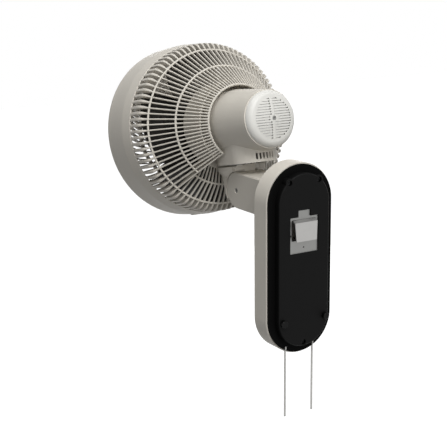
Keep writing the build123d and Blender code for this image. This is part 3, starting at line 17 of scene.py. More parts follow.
import bmesh
import bpy
from mathutils import Matrix, Vector

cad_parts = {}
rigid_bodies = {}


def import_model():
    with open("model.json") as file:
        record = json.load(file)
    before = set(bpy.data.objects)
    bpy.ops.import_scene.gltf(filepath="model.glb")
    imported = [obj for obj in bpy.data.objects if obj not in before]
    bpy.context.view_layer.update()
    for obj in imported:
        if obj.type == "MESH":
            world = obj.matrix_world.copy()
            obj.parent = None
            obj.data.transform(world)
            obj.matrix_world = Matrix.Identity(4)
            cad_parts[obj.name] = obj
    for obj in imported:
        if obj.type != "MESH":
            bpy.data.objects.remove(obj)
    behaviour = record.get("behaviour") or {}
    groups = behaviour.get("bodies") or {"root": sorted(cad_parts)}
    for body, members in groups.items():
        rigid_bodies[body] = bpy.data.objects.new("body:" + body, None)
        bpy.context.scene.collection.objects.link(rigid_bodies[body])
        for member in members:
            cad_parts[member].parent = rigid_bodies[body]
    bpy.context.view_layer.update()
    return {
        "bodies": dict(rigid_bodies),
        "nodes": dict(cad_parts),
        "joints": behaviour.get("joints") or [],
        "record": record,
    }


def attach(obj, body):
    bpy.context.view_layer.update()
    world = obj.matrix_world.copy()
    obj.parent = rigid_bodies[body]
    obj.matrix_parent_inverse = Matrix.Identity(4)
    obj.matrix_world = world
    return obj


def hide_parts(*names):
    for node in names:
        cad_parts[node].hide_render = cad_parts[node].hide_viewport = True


LOG = logging.getLogger("wall_fan")
PHOTO_PIXELS = 447
MM = 0.001
TINY = 1e-6
# corners of a mesh nearer than this many millimetres are one
WELD = 1e-4
TURN = 2 * math.pi
# a sweep past this many degrees closes on itself
WHOLE_SWEEP = 359.9
# a wave texture's phase runs so many radians in one unit at a scale of 1
WAVE_PHASE = 20
WHITE = (1.0, 1.0, 1.0, 1.0)

Point2 = tuple[float, float]
Point3 = tuple[float, float, float]
Rgba = tuple[float, float, float, float]
EdgeTest = Callable[[bmesh.types.BMEdge], bool]


# ---------------------------------------------------------------- finishes
class Surface(Enum):
    """How a surface was made, which sets the pattern of its grain."""

    MOULDED = "moulded"
    ROLLED = "rolled"
    GROUND = "ground"
    WOUND = "wound"
    BRAIDED = "braided"


def linear_rgba(sample: str) -> Rgba:
    """Turn an sRGB hex colour into linear RGBA.

    Args:
        sample: the colour as RRGGBB.

    Returns:
        Red, green, blue and an alpha of one.
    """
    channels = [int(sample[i : i + 2], 16) / 255 for i in (0, 2, 4)]
    linear = [c / 12.92 if c <= 0.04045 else ((c + 0.055) / 1.055) ** 2.4 for c in channels]
    return (*linear, 1.0)


def add_node(tree: bpy.types.NodeTree, kind: str, **settings: object) -> bpy.types.Node:
    """Add a node with its settings and links.

    Args:
        tree: the node tree.
        kind: the node's type name.
        settings: attributes of the node, or "in_" and an input's name or number with a
            value, or with an output socket to link from.

    Returns:
        The new node.
    """
    node = tree.nodes.new(kind)
    for name, value in settings.items():
        if not name.startswith("in_"):
            setattr(node, name, value)
            continue
        key = name[3:].replace("_", " ")
        socket = node.inputs[int(key)] if key.isdigit() else node.inputs[key]
        if isinstance(value, bpy.types.NodeSocket):
            tree.links.new(value, socket)
        else:
            socket.default_value = value
    return node


@dataclass(frozen=True)
class Finish:
    """One finish of the fan, with its sizes in millimetres.

    The grain is the fine relief, and the mottle a slow change of tone and polish. Where a
    colour of painted shade is given, it holds for all that lies farther from the wall than its
    depth: a darker colour and, on plastics, less shine, for faces that lie in shade.
    """

    name: str
    colour: str
    roughness: float
    surface: Surface = Surface.MOULDED
    ior: float = 1.5
    metallic: float = 0.0
    grain: float = 0.6
    grain_depth: float = 0.012
    mottle: float = 40.0
    mottle_share: float = 0.05
    polish_share: float = 0.05
    sheen: float = 0.0
    # colour, depth and shine of the painted shade on what lies farther from the wall
    painted_shade_colour: str = ""
    painted_shade_depth: float = 0.0
    near_shine: float = 0.5
    painted_shade_shine: float = 0.15

    def build(self) -> bpy.types.Material:
        """Make the material of this finish.

        Returns:
            The material, whose patterns lie in the piece's own coordinates.
        """
        material = bpy.data.materials.new(self.name)
        material.use_nodes = True
        tree = material.node_tree
        shader = tree.nodes["Principled BSDF"]
        place = add_node(tree, "ShaderNodeTexCoord").outputs["Object"]
        stretched = add_node(
            tree, "ShaderNodeMapping", in_Vector=place, in_Scale=self.grain_stretch()
        ).outputs["Vector"]
        relief = add_node(
            tree,
            "ShaderNodeBump",
            in_Height=self.grain_height(tree, stretched),
            in_Distance=self.grain_depth * MM,
            in_Strength=1.0,
        )
        cloud = add_node(
            tree,
            "ShaderNodeTexNoise",
            in_Vector=place,
            in_Scale=1 / (self.mottle * MM),
            in_Detail=3.0,
        ).outputs["Fac"]
        red, green, blue, alpha = linear_rgba(self.colour)
        low, high = 1 - self.mottle_share, 1 + self.mottle_share
        colour = add_node(
            tree,
            "ShaderNodeMix",
            data_type="RGBA",
            in_Factor=cloud,
            in_A=(red * low, green * low, blue * low, alpha),
            in_B=(red * high, green * high, blue * high, alpha),
        ).outputs["Result"]
        # painted shade: a darker colour on what lies farther from the wall
        if self.painted_shade_colour:
            colour = self.with_painted_shade(tree, place, colour, shader)
        polish = add_node(
            tree,
            "ShaderNodeMapRange",
            in_Value=cloud,
            in_3=self.roughness - self.polish_share,
            in_4=self.roughness + self.polish_share,
        )
        tree.links.new(colour, shader.inputs["Base Color"])
        tree.links.new(polish.outputs["Result"], shader.inputs["Roughness"])
        tree.links.new(relief.outputs["Normal"], shader.inputs["Normal"])
        shader.inputs["Metallic"].default_value = self.metallic
        shader.inputs["Sheen Weight"].default_value = self.sheen
        if self.metallic < 1:
            shader.inputs["IOR"].default_value = self.ior
        return material

    def with_painted_shade(
        self,
        tree: bpy.types.NodeTree,
        place: bpy.types.NodeSocket,
        colour: bpy.types.NodeSocket,
        shader: bpy.types.Node,
    ) -> bpy.types.NodeSocket:
        """Paint shade on what lies farther from the wall than a depth: a darker colour and less
        shine.

        Args:
            tree: the material's node tree.
            place: where each point lies.
            colour: the colour of what lies nearer.
            shader: the shader; unless it is a metal, its shine changes too.

        Returns:
            The colour of the whole surface.
        """
        depth = add_node(tree, "ShaderNodeSeparateXYZ", in_0=place).outputs["Y"]
        # 1 where the shade is painted, on what lies farther from the wall
        far = add_node(
            tree, "ShaderNodeMath", operation="LESS_THAN", in_0=depth, in_1=-self.painted_shade_depth * MM
        ).outputs[0]
        if self.metallic < 1:
            # less shine where the shade is painted, so those faces reflect less of the pale room
            shine = add_node(
                tree, "ShaderNodeMapRange", in_Value=far, in_3=self.near_shine, in_4=self.painted_shade_shine
            ).outputs["Result"]
            tree.links.new(shine, shader.inputs["Specular IOR Level"])
        return add_node(
            tree,
            "ShaderNodeMix",
            data_type="RGBA",
            in_Factor=far,
            in_A=colour,
            in_B=linear_rgba(self.painted_shade_colour),
        ).outputs["Result"]

    def grain_stretch(self) -> Point3:
        """Share of the grain's size along each axis, long for a drawn or rolled surface."""
        ways = {Surface.ROLLED: (1.0, 1.0, 0.08), Surface.GROUND: (1.0, 0.15, 1.0)}
        return ways.get(self.surface, (1.0, 1.0, 1.0))

    def grain_height(
        self, tree: bpy.types.NodeTree, place: bpy.types.NodeSocket
    ) -> bpy.types.NodeSocket:
        """Height of the grain at each point: waves for thread and wire, noise for the rest.

        Args:
            tree: the material's node tree.
            place: where to read the pattern.

        Returns:
            The socket that holds the height.
        """
        scale = 1 / (self.grain * MM)
        waves = {
            Surface.BRAIDED: {"bands_direction": "DIAGONAL", "in_Distortion": 1.5},
            Surface.WOUND: {
                "wave_type": "RINGS", "rings_direction": "SPHERICAL", "in_Distortion": 0.4,
            },
        }
        if self.surface in waves:
            return add_node(
                tree,
                "ShaderNodeTexWave",
                in_Vector=place,
                in_Scale=scale / WAVE_PHASE,
                **waves[self.surface],
            ).outputs["Fac"]
        return add_node(
            tree, "ShaderNodeTexNoise", in_Vector=place, in_Scale=scale, in_Detail=2.0
        ).outputs["Fac"]


# The grain of moulded plastic and of ground or rolled metal is 0.05 to 0.2 mm, too fine to
# show, so it is drawn at 0.3 to 1.2 mm, and as shallow as it is felt.
FINISHES: dict[str, Finish] = {
    # warm greige ABS with a fine spark-eroded grain, so it shines only in broad soft patches
    "body_plastic": Finish("greige_abs", "CEC9BF", 0.52, ior=1.42, grain=0.7, grain_depth=0.010),
    # the cap comes from a smoother tool and a paler batch of the same ABS
    "cap_plastic": Finish("pale_abs", "D8D7D2", 0.45, grain=0.6, grain_depth=0.006),
    # matt black ABS, with a coarser grain that hides scuffs from the wall; its low rim, the sloped
    # wall that faces away from the light, is painted deeper black with less shine, as painted shade
    "cover_plastic": Finish(
        "black_abs", "101010", 0.55, ior=1.17, grain=0.8, grain_depth=0.018, mottle_share=0.12,
        # painted shade on the low rim of the cover
        painted_shade_colour="0B0B0B", painted_shade_depth=7.4,
    ),
    # zinc plated sheet, drawn along the strip, with a dull blue-grey shine; the plate is painted
    # darker as painted shade, so the tongue, which stands out towards the wall and catches the
    # light, is left brighter as a painted highlight
    "plated_steel": Finish(
        "zinc_plated_sheet", "ADACAA", 0.42, Surface.ROLLED, metallic=1.0, grain=0.5,
        # painted shade on the plate behind the tongue
        grain_depth=0.006, mottle=9.0, painted_shade_colour="8A8A88", painted_shade_depth=7.6,
    ),
    # blackened steel screws with an oily half gloss
    "dark_screws": Finish(
        "blackened_steel", "2A2A2B", 0.38, metallic=0.85, grain=0.3, grain_depth=0.004
    ),
    # black rubber feet with the smooth skin of their mould
    "foot_rubber": Finish("moulded_rubber", "060606", 0.3, ior=1.22, grain=0.5, grain_depth=0.01),
    # white nylon guides and plungers, waxy
    "white_plastic": Finish("white_nylon", "C9C8C4", 0.35, grain=0.4, grain_depth=0.004),
    # braided polyester, matt, with its plait showing as a fine diagonal relief; one lay of
    # the plait is a turn of the wave, which is 2 pi grains or about 7 mm
    "pull_cord": Finish(
        "braided_polyester", "D0CFCB", 0.75, Surface.BRAIDED, grain=1.1, grain_depth=0.12,
        sheen=0.2, mottle=4.0, mottle_share=0.08,
    ),
    # dark phenolic switch bodies, hard and dull
    "switch_plastic": Finish("phenolic", "26262A", 0.4),
    # the capacitor's box, milky and half glossy
    "capacitor_plastic": Finish("polypropylene_box", "C4C2BA", 0.38),
    # ground steel shaft and post, bright, marked round by the wheel
    "shaft_steel": Finish(
        "ground_steel", "C8C8C6", 0.22, Surface.GROUND, metallic=1.0, grain=0.3, grain_depth=0.003
    ),
    # laminated core, dull grey from its oxide
    "core_steel": Finish(
        "laminated_steel", "77787C", 0.5, Surface.ROLLED, metallic=1.0, grain=0.5
    ),
    # enamelled copper wire, red-brown and glossy, its turns drawn as coarse as they need to
    # be to show
    "winding_copper": Finish(
        "enamelled_copper", "B4673A", 0.3, Surface.WOUND, metallic=0.9, grain=0.8, grain_depth=0.1
    ),
    # oil-filled bronze bearings, yellow-brown with fine pores
    "bearing_bronze": Finish(
        "sintered_bronze", "A4844F", 0.45, metallic=1.0, grain=0.3, grain_depth=0.01
    ),
    # die cast plate, pale, with the slightly wavy skin of its mould
    "end_plate_aluminium": Finish(
        "cast_aluminium", "B8B9BA", 0.42, metallic=1.0, grain=0.9, grain_depth=0.02
    ),
    # drawn can of the small motor, brighter than the hanger
    "motor_can": Finish("zinc_can", "B0B0AC", 0.35, metallic=1.0, grain=0.5),
    # uncoloured acetal gears, creamy and slick
    "gear_plastic": Finish("natural_acetal", "E0DDD2", 0.35, grain=0.4, grain_depth=0.004),
    # smoke grey AS blades, glossy from the polished tool
    "blade_plastic": Finish(
        "smoke_grey_as", "262422", 0.28, ior=1.4, grain=1.2, grain_depth=0.004, mottle_share=0.03
    ),
}


# ---------------------------------------------------------------- frames and meshes
@dataclass(frozen=True)
class HeadFrame:
    """The head's own frame at rest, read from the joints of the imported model."""

    origin: Vector
    forward: Vector
    upward: Vector

    @classmethod
    def read(cls, joints: Sequence[dict]) -> "HeadFrame":
        """Read the fan axis and the swing axis.

        Args:
            joints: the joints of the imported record.

        Returns:
            The head's frame.
        """
        by_name = {joint["name"]: joint for joint in joints}
        return cls(
            origin=Vector(by_name["fan_spin"]["pos_m"]),
            forward=Vector(by_name["fan_spin"]["axis"]).normalized(),
            upward=Vector(by_name["swing"]["axis"]).normalized(),
        )

    @property
    def across(self) -> Vector:
        """Direction to the side, as +X of the whole fan."""
        return self.upward.cross(self.forward)

    @property
    def matrix(self) -> Matrix:
        """Takes head coordinates in millimetres to the frame in metres."""
        turn = Matrix((self.across, self.upward, self.forward)).transposed().to_4x4()
        return Matrix.Translation(self.origin) @ turn @ Matrix.Scale(MM, 4)


@dataclass
class Workshop:
    """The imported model, its finishes and the steps that every piece goes through."""

    frame: dict

    def __post_init__(self) -> None:
        """Build the finishes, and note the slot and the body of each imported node."""
        self.materials = {slot: finish.build() for slot, finish in FINISHES.items()}
        record = self.frame["record"]
        self.slots = {part["node"]: part["material_slot"] for part in record["subparts"]}
        bodies = record["behaviour"]["bodies"]
        self.bodies = {node: body for body, nodes in bodies.items() for node in nodes}

    def place(self, piece: bpy.types.Object, node: str) -> bpy.types.Object:
        """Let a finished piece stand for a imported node, with its finish and on its body.

        Args:
            piece: the finished piece, at the origin.
            node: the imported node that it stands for.

        Returns:
            The piece.
        """
        slot, body = self.slots[node], self.bodies[node]
        piece.data.materials.clear()
        piece.data.materials.append(self.materials[slot])
        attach(piece, body)
        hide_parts(node)
        LOG.info("%s rides on %s", piece.name, body)
        return piece

    def dress_node(self, name: str) -> None:
        """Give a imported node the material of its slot.

        Args:
            name: the node's name.
        """
        node = self.frame["nodes"][name]
        material = self.materials[self.slots[name]]
        if not node.material_slots:
            node.data.materials.append(material)
        for slot in node.material_slots:
            slot.material = material


def new_object(name: str, data: bpy.types.ID) -> bpy.types.Object:
    """Link a new object to the scene.

    Args:
        name: the object's name.
        data: the mesh, curve, lamp or lens that it shows.

    Returns:
        The object.
    """
    piece = bpy.data.objects.new(name, data)
    bpy.context.scene.collection.objects.link(piece)
    return piece


def evaluated_mesh(piece: bpy.types.Object) -> bpy.types.Mesh:
    """Make a plain mesh of an object with its modifiers applied.

    Args:
        piece: the object, which stays as it is.

    Returns:
        The new mesh.
    """
    graph = bpy.context.evaluated_depsgraph_get()
    graph.update()
    return bpy.data.meshes.new_from_object(piece.evaluated_get(graph))


def apply_modifiers(piece: bpy.types.Object) -> None:
    """Turn an object's modifiers into plain mesh.

    Args:
        piece: the object.
    """
    mesh = evaluated_mesh(piece)
    piece.modifiers.clear()
    piece.data = mesh


def shade_smooth(mesh: bpy.types.Mesh) -> None:
    """Shade every face smooth."""
    mesh.polygons.foreach_set("use_smooth", [True] * len(mesh.polygons))


# ---------------------------------------------------------------- outlines and turned forms
def arc_points(start: Point2, middle: Point2, end: Point2, flats: int) -> list[Point2]:
    """Points along the arc through three points.

    Args:
        start: first end of the arc.
        middle: a point that it passes.
        end: its other end.
        flats: number of straight stretches.

    Returns:
        The points, both ends included.
    """
    (ax, ay), (bx, by), (cx, cy) = start, middle, end
    span = 2 * (ax * (by - cy) + bx * (cy - ay) + cx * (ay - by))
    a2, b2, c2 = ax * ax + ay * ay, bx * bx + by * by, cx * cx + cy * cy
    centre = Vector(
        (
            (a2 * (by - cy) + b2 * (cy - ay) + c2 * (ay - by)) / span,
            (a2 * (cx - bx) + b2 * (ax - cx) + c2 * (bx - ax)) / span,
        )
    )
    radius = (Vector(start) - centre).length
    angles = [math.atan2(y - centre.y, x - centre.x) for x, y in (start, middle, end)]
    turn = math.remainder(angles[1] - angles[0], TURN) + math.remainder(angles[2] - angles[1], TURN)
    stops = [angles[0] + turn * step / flats for step in range(flats + 1)]
    return [(centre.x + radius * math.cos(a), centre.y + radius * math.sin(a)) for a in stops]


def shifted(point: Point2, by: Point2) -> Point2:
    """Move a point in both directions."""
    return point[0] + by[0], point[1] + by[1]


def rounded(corners: Sequence[Point3], flats: int = 4) -> list[Point2]:
    """Closed outline whose corners are rounded.

    Args:
        corners: each corner and the radius of its round.
        flats: straight stretches in each round.

    Returns:
        The points of the outline.
    """
    nearly_straight = math.radians(88)
    outline: list[Point2] = []
    for index, (x, y, radius) in enumerate(corners):
        corner = Vector((x, y))
        before = (Vector(corners[index - 1][:2]) - corner).normalized()
        after = (Vector(corners[(index + 1) % len(corners)][:2]) - corner).normalized()
        half = before.angle(after, math.pi) / 2
        if not radius or half > nearly_straight:
            outline.append((x, y))
            continue
        leg = radius / math.tan(half)
        towards = (before + after).normalized()
        crest = corner + towards * (radius / math.sin(half) - radius)
        outline += arc_points(
            tuple(corner + before * leg), tuple(crest), tuple(corner + after * leg), flats
        )
    return outline


def join_rows(
    form: bmesh.types.BMesh, rows: Sequence[Sequence[bmesh.types.BMVert]], whole: bool
) -> None:
    """Join closed rows of corners with faces into one closed form.

    Args:
        form: the bmesh that holds the corners.
        rows: the rows, one behind the other.
        whole: whether the last row meets the first; if not, both ends are capped.
    """
    for row, following in zip(rows, [*rows[1:], rows[0]] if whole else rows[1:]):
        for index, corner in enumerate(row):
            form.faces.new((row[index - 1], corner, following[index], following[index - 1]))
    if not whole:
        form.faces.new(rows[0])
        form.faces.new(rows[-1])


def turned(
    outline: Sequence[Point2], flats: int = 144, first: float = 0.0, sweep: float = 360.0
) -> bpy.types.Mesh:
    """Turn a closed outline about the fan axis.

    Args:
        outline: radius and station of each point.
        flats: flats round a full turn.
        first: angle where it starts, from straight down, in degrees.
        sweep: how far it turns, in degrees.

    Returns:
        The closed mesh, in head coordinates.
    """
    whole = sweep > WHOLE_SWEEP
    steps = max(1, round(flats * sweep / 360))
    form = bmesh.new()
    rows = []
    for step in range(steps if whole else steps + 1):
        angle = math.radians(first + sweep * step / steps)
        rows.append(
            [form.verts.new((r * math.sin(angle), -r * math.cos(angle), s)) for r, s in outline]
        )
    join_rows(form, rows, whole)
    return closed_mesh(form, "turned")


def closed_mesh(form: bmesh.types.BMesh, name: str) -> bpy.types.Mesh:
    """Turn a bmesh into a mesh whose faces point outwards.

    Args:
        form: the bmesh, which is freed.
        name: the mesh's name.

    Returns:
        The mesh, shaded smooth.
    """
    bmesh.ops.remove_doubles(form, verts=form.verts, dist=WELD)
    bmesh.ops.recalc_face_normals(form, faces=form.faces)
    mesh = bpy.data.meshes.new(name)
    form.to_mesh(mesh)
    form.free()
    shade_smooth(mesh)
    return mesh


def flat_bar(outline: Sequence[Point2], width: float, edge_round: float) -> bpy.types.Mesh:
    """Flat bar with rounded edges, standing straight down from the fan axis.

    Args:
        outline: radius and station of each corner.
        width: how thick the bar is.
        edge_round: round of its edges.

    Returns:
        The mesh, in head coordinates.
    """
    form = bmesh.new()
    face = form.faces.new([form.verts.new((-width / 2, -r, s)) for r, s in outline])
    pushed = bmesh.ops.extrude_face_region(form, geom=[face])
    corners = [item for item in pushed["geom"] if isinstance(item, bmesh.types.BMVert)]
    bmesh.ops.translate(form, verts=corners, vec=(width, 0, 0))
    bmesh.ops.recalc_face_normals(form, faces=form.faces)
    long_edges = [e for e in form.edges if abs(e.verts[0].co.x - e.verts[1].co.x) < TINY]
    bmesh.ops.bevel(
        form,
        geom=long_edges,
        offset=edge_round,
        segments=2,
        profile=0.5,
        affect="EDGES",
        clamp_overlap=True,
    )
    return closed_mesh(form, "flat_bar")


def joined(meshes: Sequence[bpy.types.Mesh]) -> bpy.types.Mesh:
    """Put several meshes into one.

    Args:
        meshes: the meshes, which stay as they are.

    Returns:
        The new mesh, shaded smooth.
    """
    form = bmesh.new()
    for mesh in meshes:
        form.from_mesh(mesh)
    whole = bpy.data.meshes.new("joined")
    form.to_mesh(whole)
    form.free()
    shade_smooth(whole)
    return whole


# ---------------------------------------------------------------- geometry node trees
class ShapeTree:
    """A geometry node tree with named inputs, which makes one plain mesh."""

    def __init__(self, name: str) -> None:
        """Start the tree with its geometry input and output.

        Args:
            name: the tree's name.
        """
        self.tree = bpy.data.node_groups.new(name, "GeometryNodeTree")
        for way in ("INPUT", "OUTPUT"):
            self.tree.interface.new_socket("Geometry", in_out=way, socket_type="NodeSocketGeometry")
        self.entry = add_node(self.tree, "NodeGroupInput")

    def size(self, name: str, kind: str = "NodeSocketFloat") -> bpy.types.NodeSocket:
        """Add a named input and return the socket that carries it."""
        self.tree.interface.new_socket(name, in_out="INPUT", socket_type=kind)
        return self.entry.outputs[name]

    def node(self, kind: str, output: str | int = 0, **settings: object) -> bpy.types.NodeSocket:
        """Add a node and return one of its outputs."""
        return add_node(self.tree, kind, **settings).outputs[output]

    def around(self, shape: bpy.types.NodeSocket) -> bpy.types.NodeSocket:
        """Repeat a shape round the fan axis, by the inputs Count, First and Step.

        Args:
            shape: the socket that carries the shape.

        Returns:
            The socket that carries the whole row.
        """
        count = self.size("Count", "NodeSocketInt")
        first = self.size("First")
        step = self.size("Step")
        index = self.node("GeometryNodeInputIndex")
        way = self.node(
            "ShaderNodeMath", operation="MULTIPLY_ADD", in_0=index, in_1=step, in_2=first
        )
        turn = self.node("FunctionNodeAxisAngleToRotation", in_Axis=(0, 0, 1), in_Angle=way)
        spots = self.node("GeometryNodePoints", in_Count=count)
        return self.node(
            "GeometryNodeInstanceOnPoints", in_Points=spots, in_Instance=shape, in_Rotation=turn
        )

    def close(self, shape: bpy.types.NodeSocket) -> None:
        """End the tree: plain mesh, smooth shading, and the finish that the inputs name.

        Args:
            shape: the socket that carries the finished shape.
        """
        finish = self.size("Finish", "NodeSocketMaterial")
        plain = self.node("GeometryNodeRealizeInstances", in_Geometry=shape)
        smooth = self.node("GeometryNodeSetShadeSmooth", in_Geometry=plain)
        dressed = self.node("GeometryNodeSetMaterial", in_Geometry=smooth, in_Material=finish)
        add_node(self.tree, "NodeGroupOutput", in_Geometry=dressed)

    def run(
        self, sizes: dict[str, object], template: bpy.types.Mesh | None = None
    ) -> bpy.types.Mesh:
        """Make the tree's mesh.

        Args:
            sizes: a value for each named input.
            template: the mesh that goes into the tree.

        Returns:
            The plain mesh.
        """
        bench = new_object("bench", template or bpy.data.meshes.new("empty"))
        maker = bench.modifiers.new("maker", "NODES")
        maker.node_group = self.tree
        for item in self.tree.interface.items_tree:
            if item.in_out == "INPUT" and item.name in sizes:
                maker[item.identifier] = sizes[item.name]
        mesh = evaluated_mesh(bench)
        bench.modifiers.clear()
        bpy.data.objects.remove(bench)
        return mesh


def polar_row_tree() -> ShapeTree:
    """Make the tree that repeats its template round the fan axis.

    Returns:
        The tree.
    """
    tree = ShapeTree("polar_row")
    tree.close(tree.around(tree.entry.outputs["Geometry"]))
    return tree


def wire_ring_tree() -> ShapeTree:
    """Make the tree for a round wire along a circle, or a part of one, about the fan axis.

    Returns:
        The tree.
    """
    tree = ShapeTree("wire_ring")
    line = tree.node(
        "GeometryNodeCurveArc",
        in_Resolution=tree.size("Flats", "NodeSocketInt"),
        in_Radius=tree.size("Radius"),
        in_Start_Angle=tree.size("First"),
        in_Sweep_Angle=tree.size("Sweep"),
    )
    line = tree.node(
        "GeometryNodeSetSplineCyclic",
        in_Geometry=line,
        in_Cyclic=tree.size("Closed", "NodeSocketBool"),
    )
    section = tree.node(
        "GeometryNodeCurvePrimitiveCircle", in_Resolution=10, in_Radius=tree.size("Wire radius")
    )
    wire = tree.node(
        "GeometryNodeCurveToMesh", in_Curve=line, in_Profile_Curve=section, in_Fill_Caps=True
    )
    place = tree.node("ShaderNodeCombineXYZ", in_Z=tree.size("Station"))
    tree.close(tree.node("GeometryNodeTransform", in_Geometry=wire, in_Translation=place))
    return tree


def swirl_rib_tree() -> ShapeTree:
    """Make the tree for curved ribs of a rounded section, repeated round the fan axis.

    Returns:
        The tree.
    """
    tree = ShapeTree("swirl_ribs")
    line = tree.node(
        "GeometryNodeCurveArc",
        mode="POINTS",
        in_Resolution=tree.size("Flats", "NodeSocketInt"),
        in_Start=tree.size("Root", "NodeSocketVector"),
        in_Middle=tree.size("Bow", "NodeSocketVector"),
        in_End=tree.size("Tip", "NodeSocketVector"),
    )
    line = tree.node("GeometryNodeSetCurveNormal", in_Curve=line, mode="Z_UP")
    section = tree.node(
        "GeometryNodeCurvePrimitiveQuadrilateral",
        in_Width=tree.size("Width"),
        in_Height=tree.size("Depth"),
    )
    section = tree.node(
        "GeometryNodeFilletCurve",
        mode="POLY",
        in_Curve=section,
        in_Count=2,
        in_Radius=tree.size("Edge round"),
    )
    rib = tree.node(
        "GeometryNodeCurveToMesh", in_Curve=line, in_Profile_Curve=section, in_Fill_Caps=True
    )
    tree.close(tree.around(rib))
    return tree


# ---------------------------------------------------------------- moulded edges
@dataclass(frozen=True)
class Rounding:
    """A round that replaces a flat bevel, or breaks a sharp edge."""

    test: EdgeTest
    radius: float

    def leg(self, turn: float) -> float:
        """Length of the round along each face, in metres, for an edge that turns so far."""
        return self.radius * MM * math.tan(turn / 2)


@dataclass
class MouldedEdges:
    """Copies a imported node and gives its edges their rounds.

    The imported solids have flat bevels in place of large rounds. Each bevel touches its
    round in the middle, so rounding both of its edges gives the true form. Edges that turn
    less than least_turn, or less than least_ruled_turn where a rule names them, belong to
    a curved face and stay.
    """

    workshop: Workshop
    least_turn: float = math.radians(24)
    least_ruled_turn: float = math.radians(8)
    coplanar: float = math.radians(0.6)
    weld: float = 0.002

    def build(
        self,
        node: str,
        rules: Sequence[Rounding] = (),
        edge_break: float = 0.4,
        segments: int = 2,
    ) -> bpy.types.Object:
        """Round one node's edges and let the copy stand for it.

        Args:
            node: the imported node.
            rules: rounds for chosen edges; the first that fits an edge holds.
            edge_break: round of every other edge, in millimetres.
            segments: flats in each round.

        Returns:
            The new piece.
        """
        small = Rounding(lambda edge: True, edge_break)
        mesh = self.workshop.frame["nodes"][node].data.copy()
        form = bmesh.new()
        form.from_mesh(mesh)
        bmesh.ops.remove_doubles(form, verts=form.verts, dist=self.weld * MM)
        bmesh.ops.dissolve_limit(
            form, angle_limit=self.coplanar, verts=form.verts, edges=form.edges
        )
        legs = {}
        for edge in form.edges:
            if len(edge.link_faces) != 2:
                continue
            turn = edge.calc_face_angle(0.0)
            rule = next((r for r in rules if r.test(edge)), small)
            if turn >= self.least_turn or (rule is not small and turn > self.least_ruled_turn):
                legs[edge.index] = rule.leg(turn)
        widest = max(legs.values())
        form.to_mesh(mesh)
        form.free()
        weights = mesh.attributes.new("bevel_weight_edge", "FLOAT", "EDGE")
        for index, leg in legs.items():
            weights.data[index].value = leg / widest
        piece = new_object(node + "_moulded", mesh)
        shade_smooth(mesh)
        bevel = piece.modifiers.new("rounds", "BEVEL")
        bevel.limit_method = "WEIGHT"
        bevel.width = widest
        bevel.segments = segments
        bevel.harden_normals = True
        bevel.use_clamp_overlap = True
        # broad faces keep an even shade beside their narrow rounds
        piece.modifiers.new("even_shade", "WEIGHTED_NORMAL")
        apply_modifiers(piece)
        return self.workshop.place(piece, node)

    def build_small(self, sizes: Sequence[tuple[str, float, int]]) -> None:
        """Round the edges of small parts, which need no rules.

        Args:
            sizes: each node, with its edge break in millimetres and the flats in each round.
        """
        for node, edge_break, segments in sizes:
            self.build(node, (), edge_break, segments)


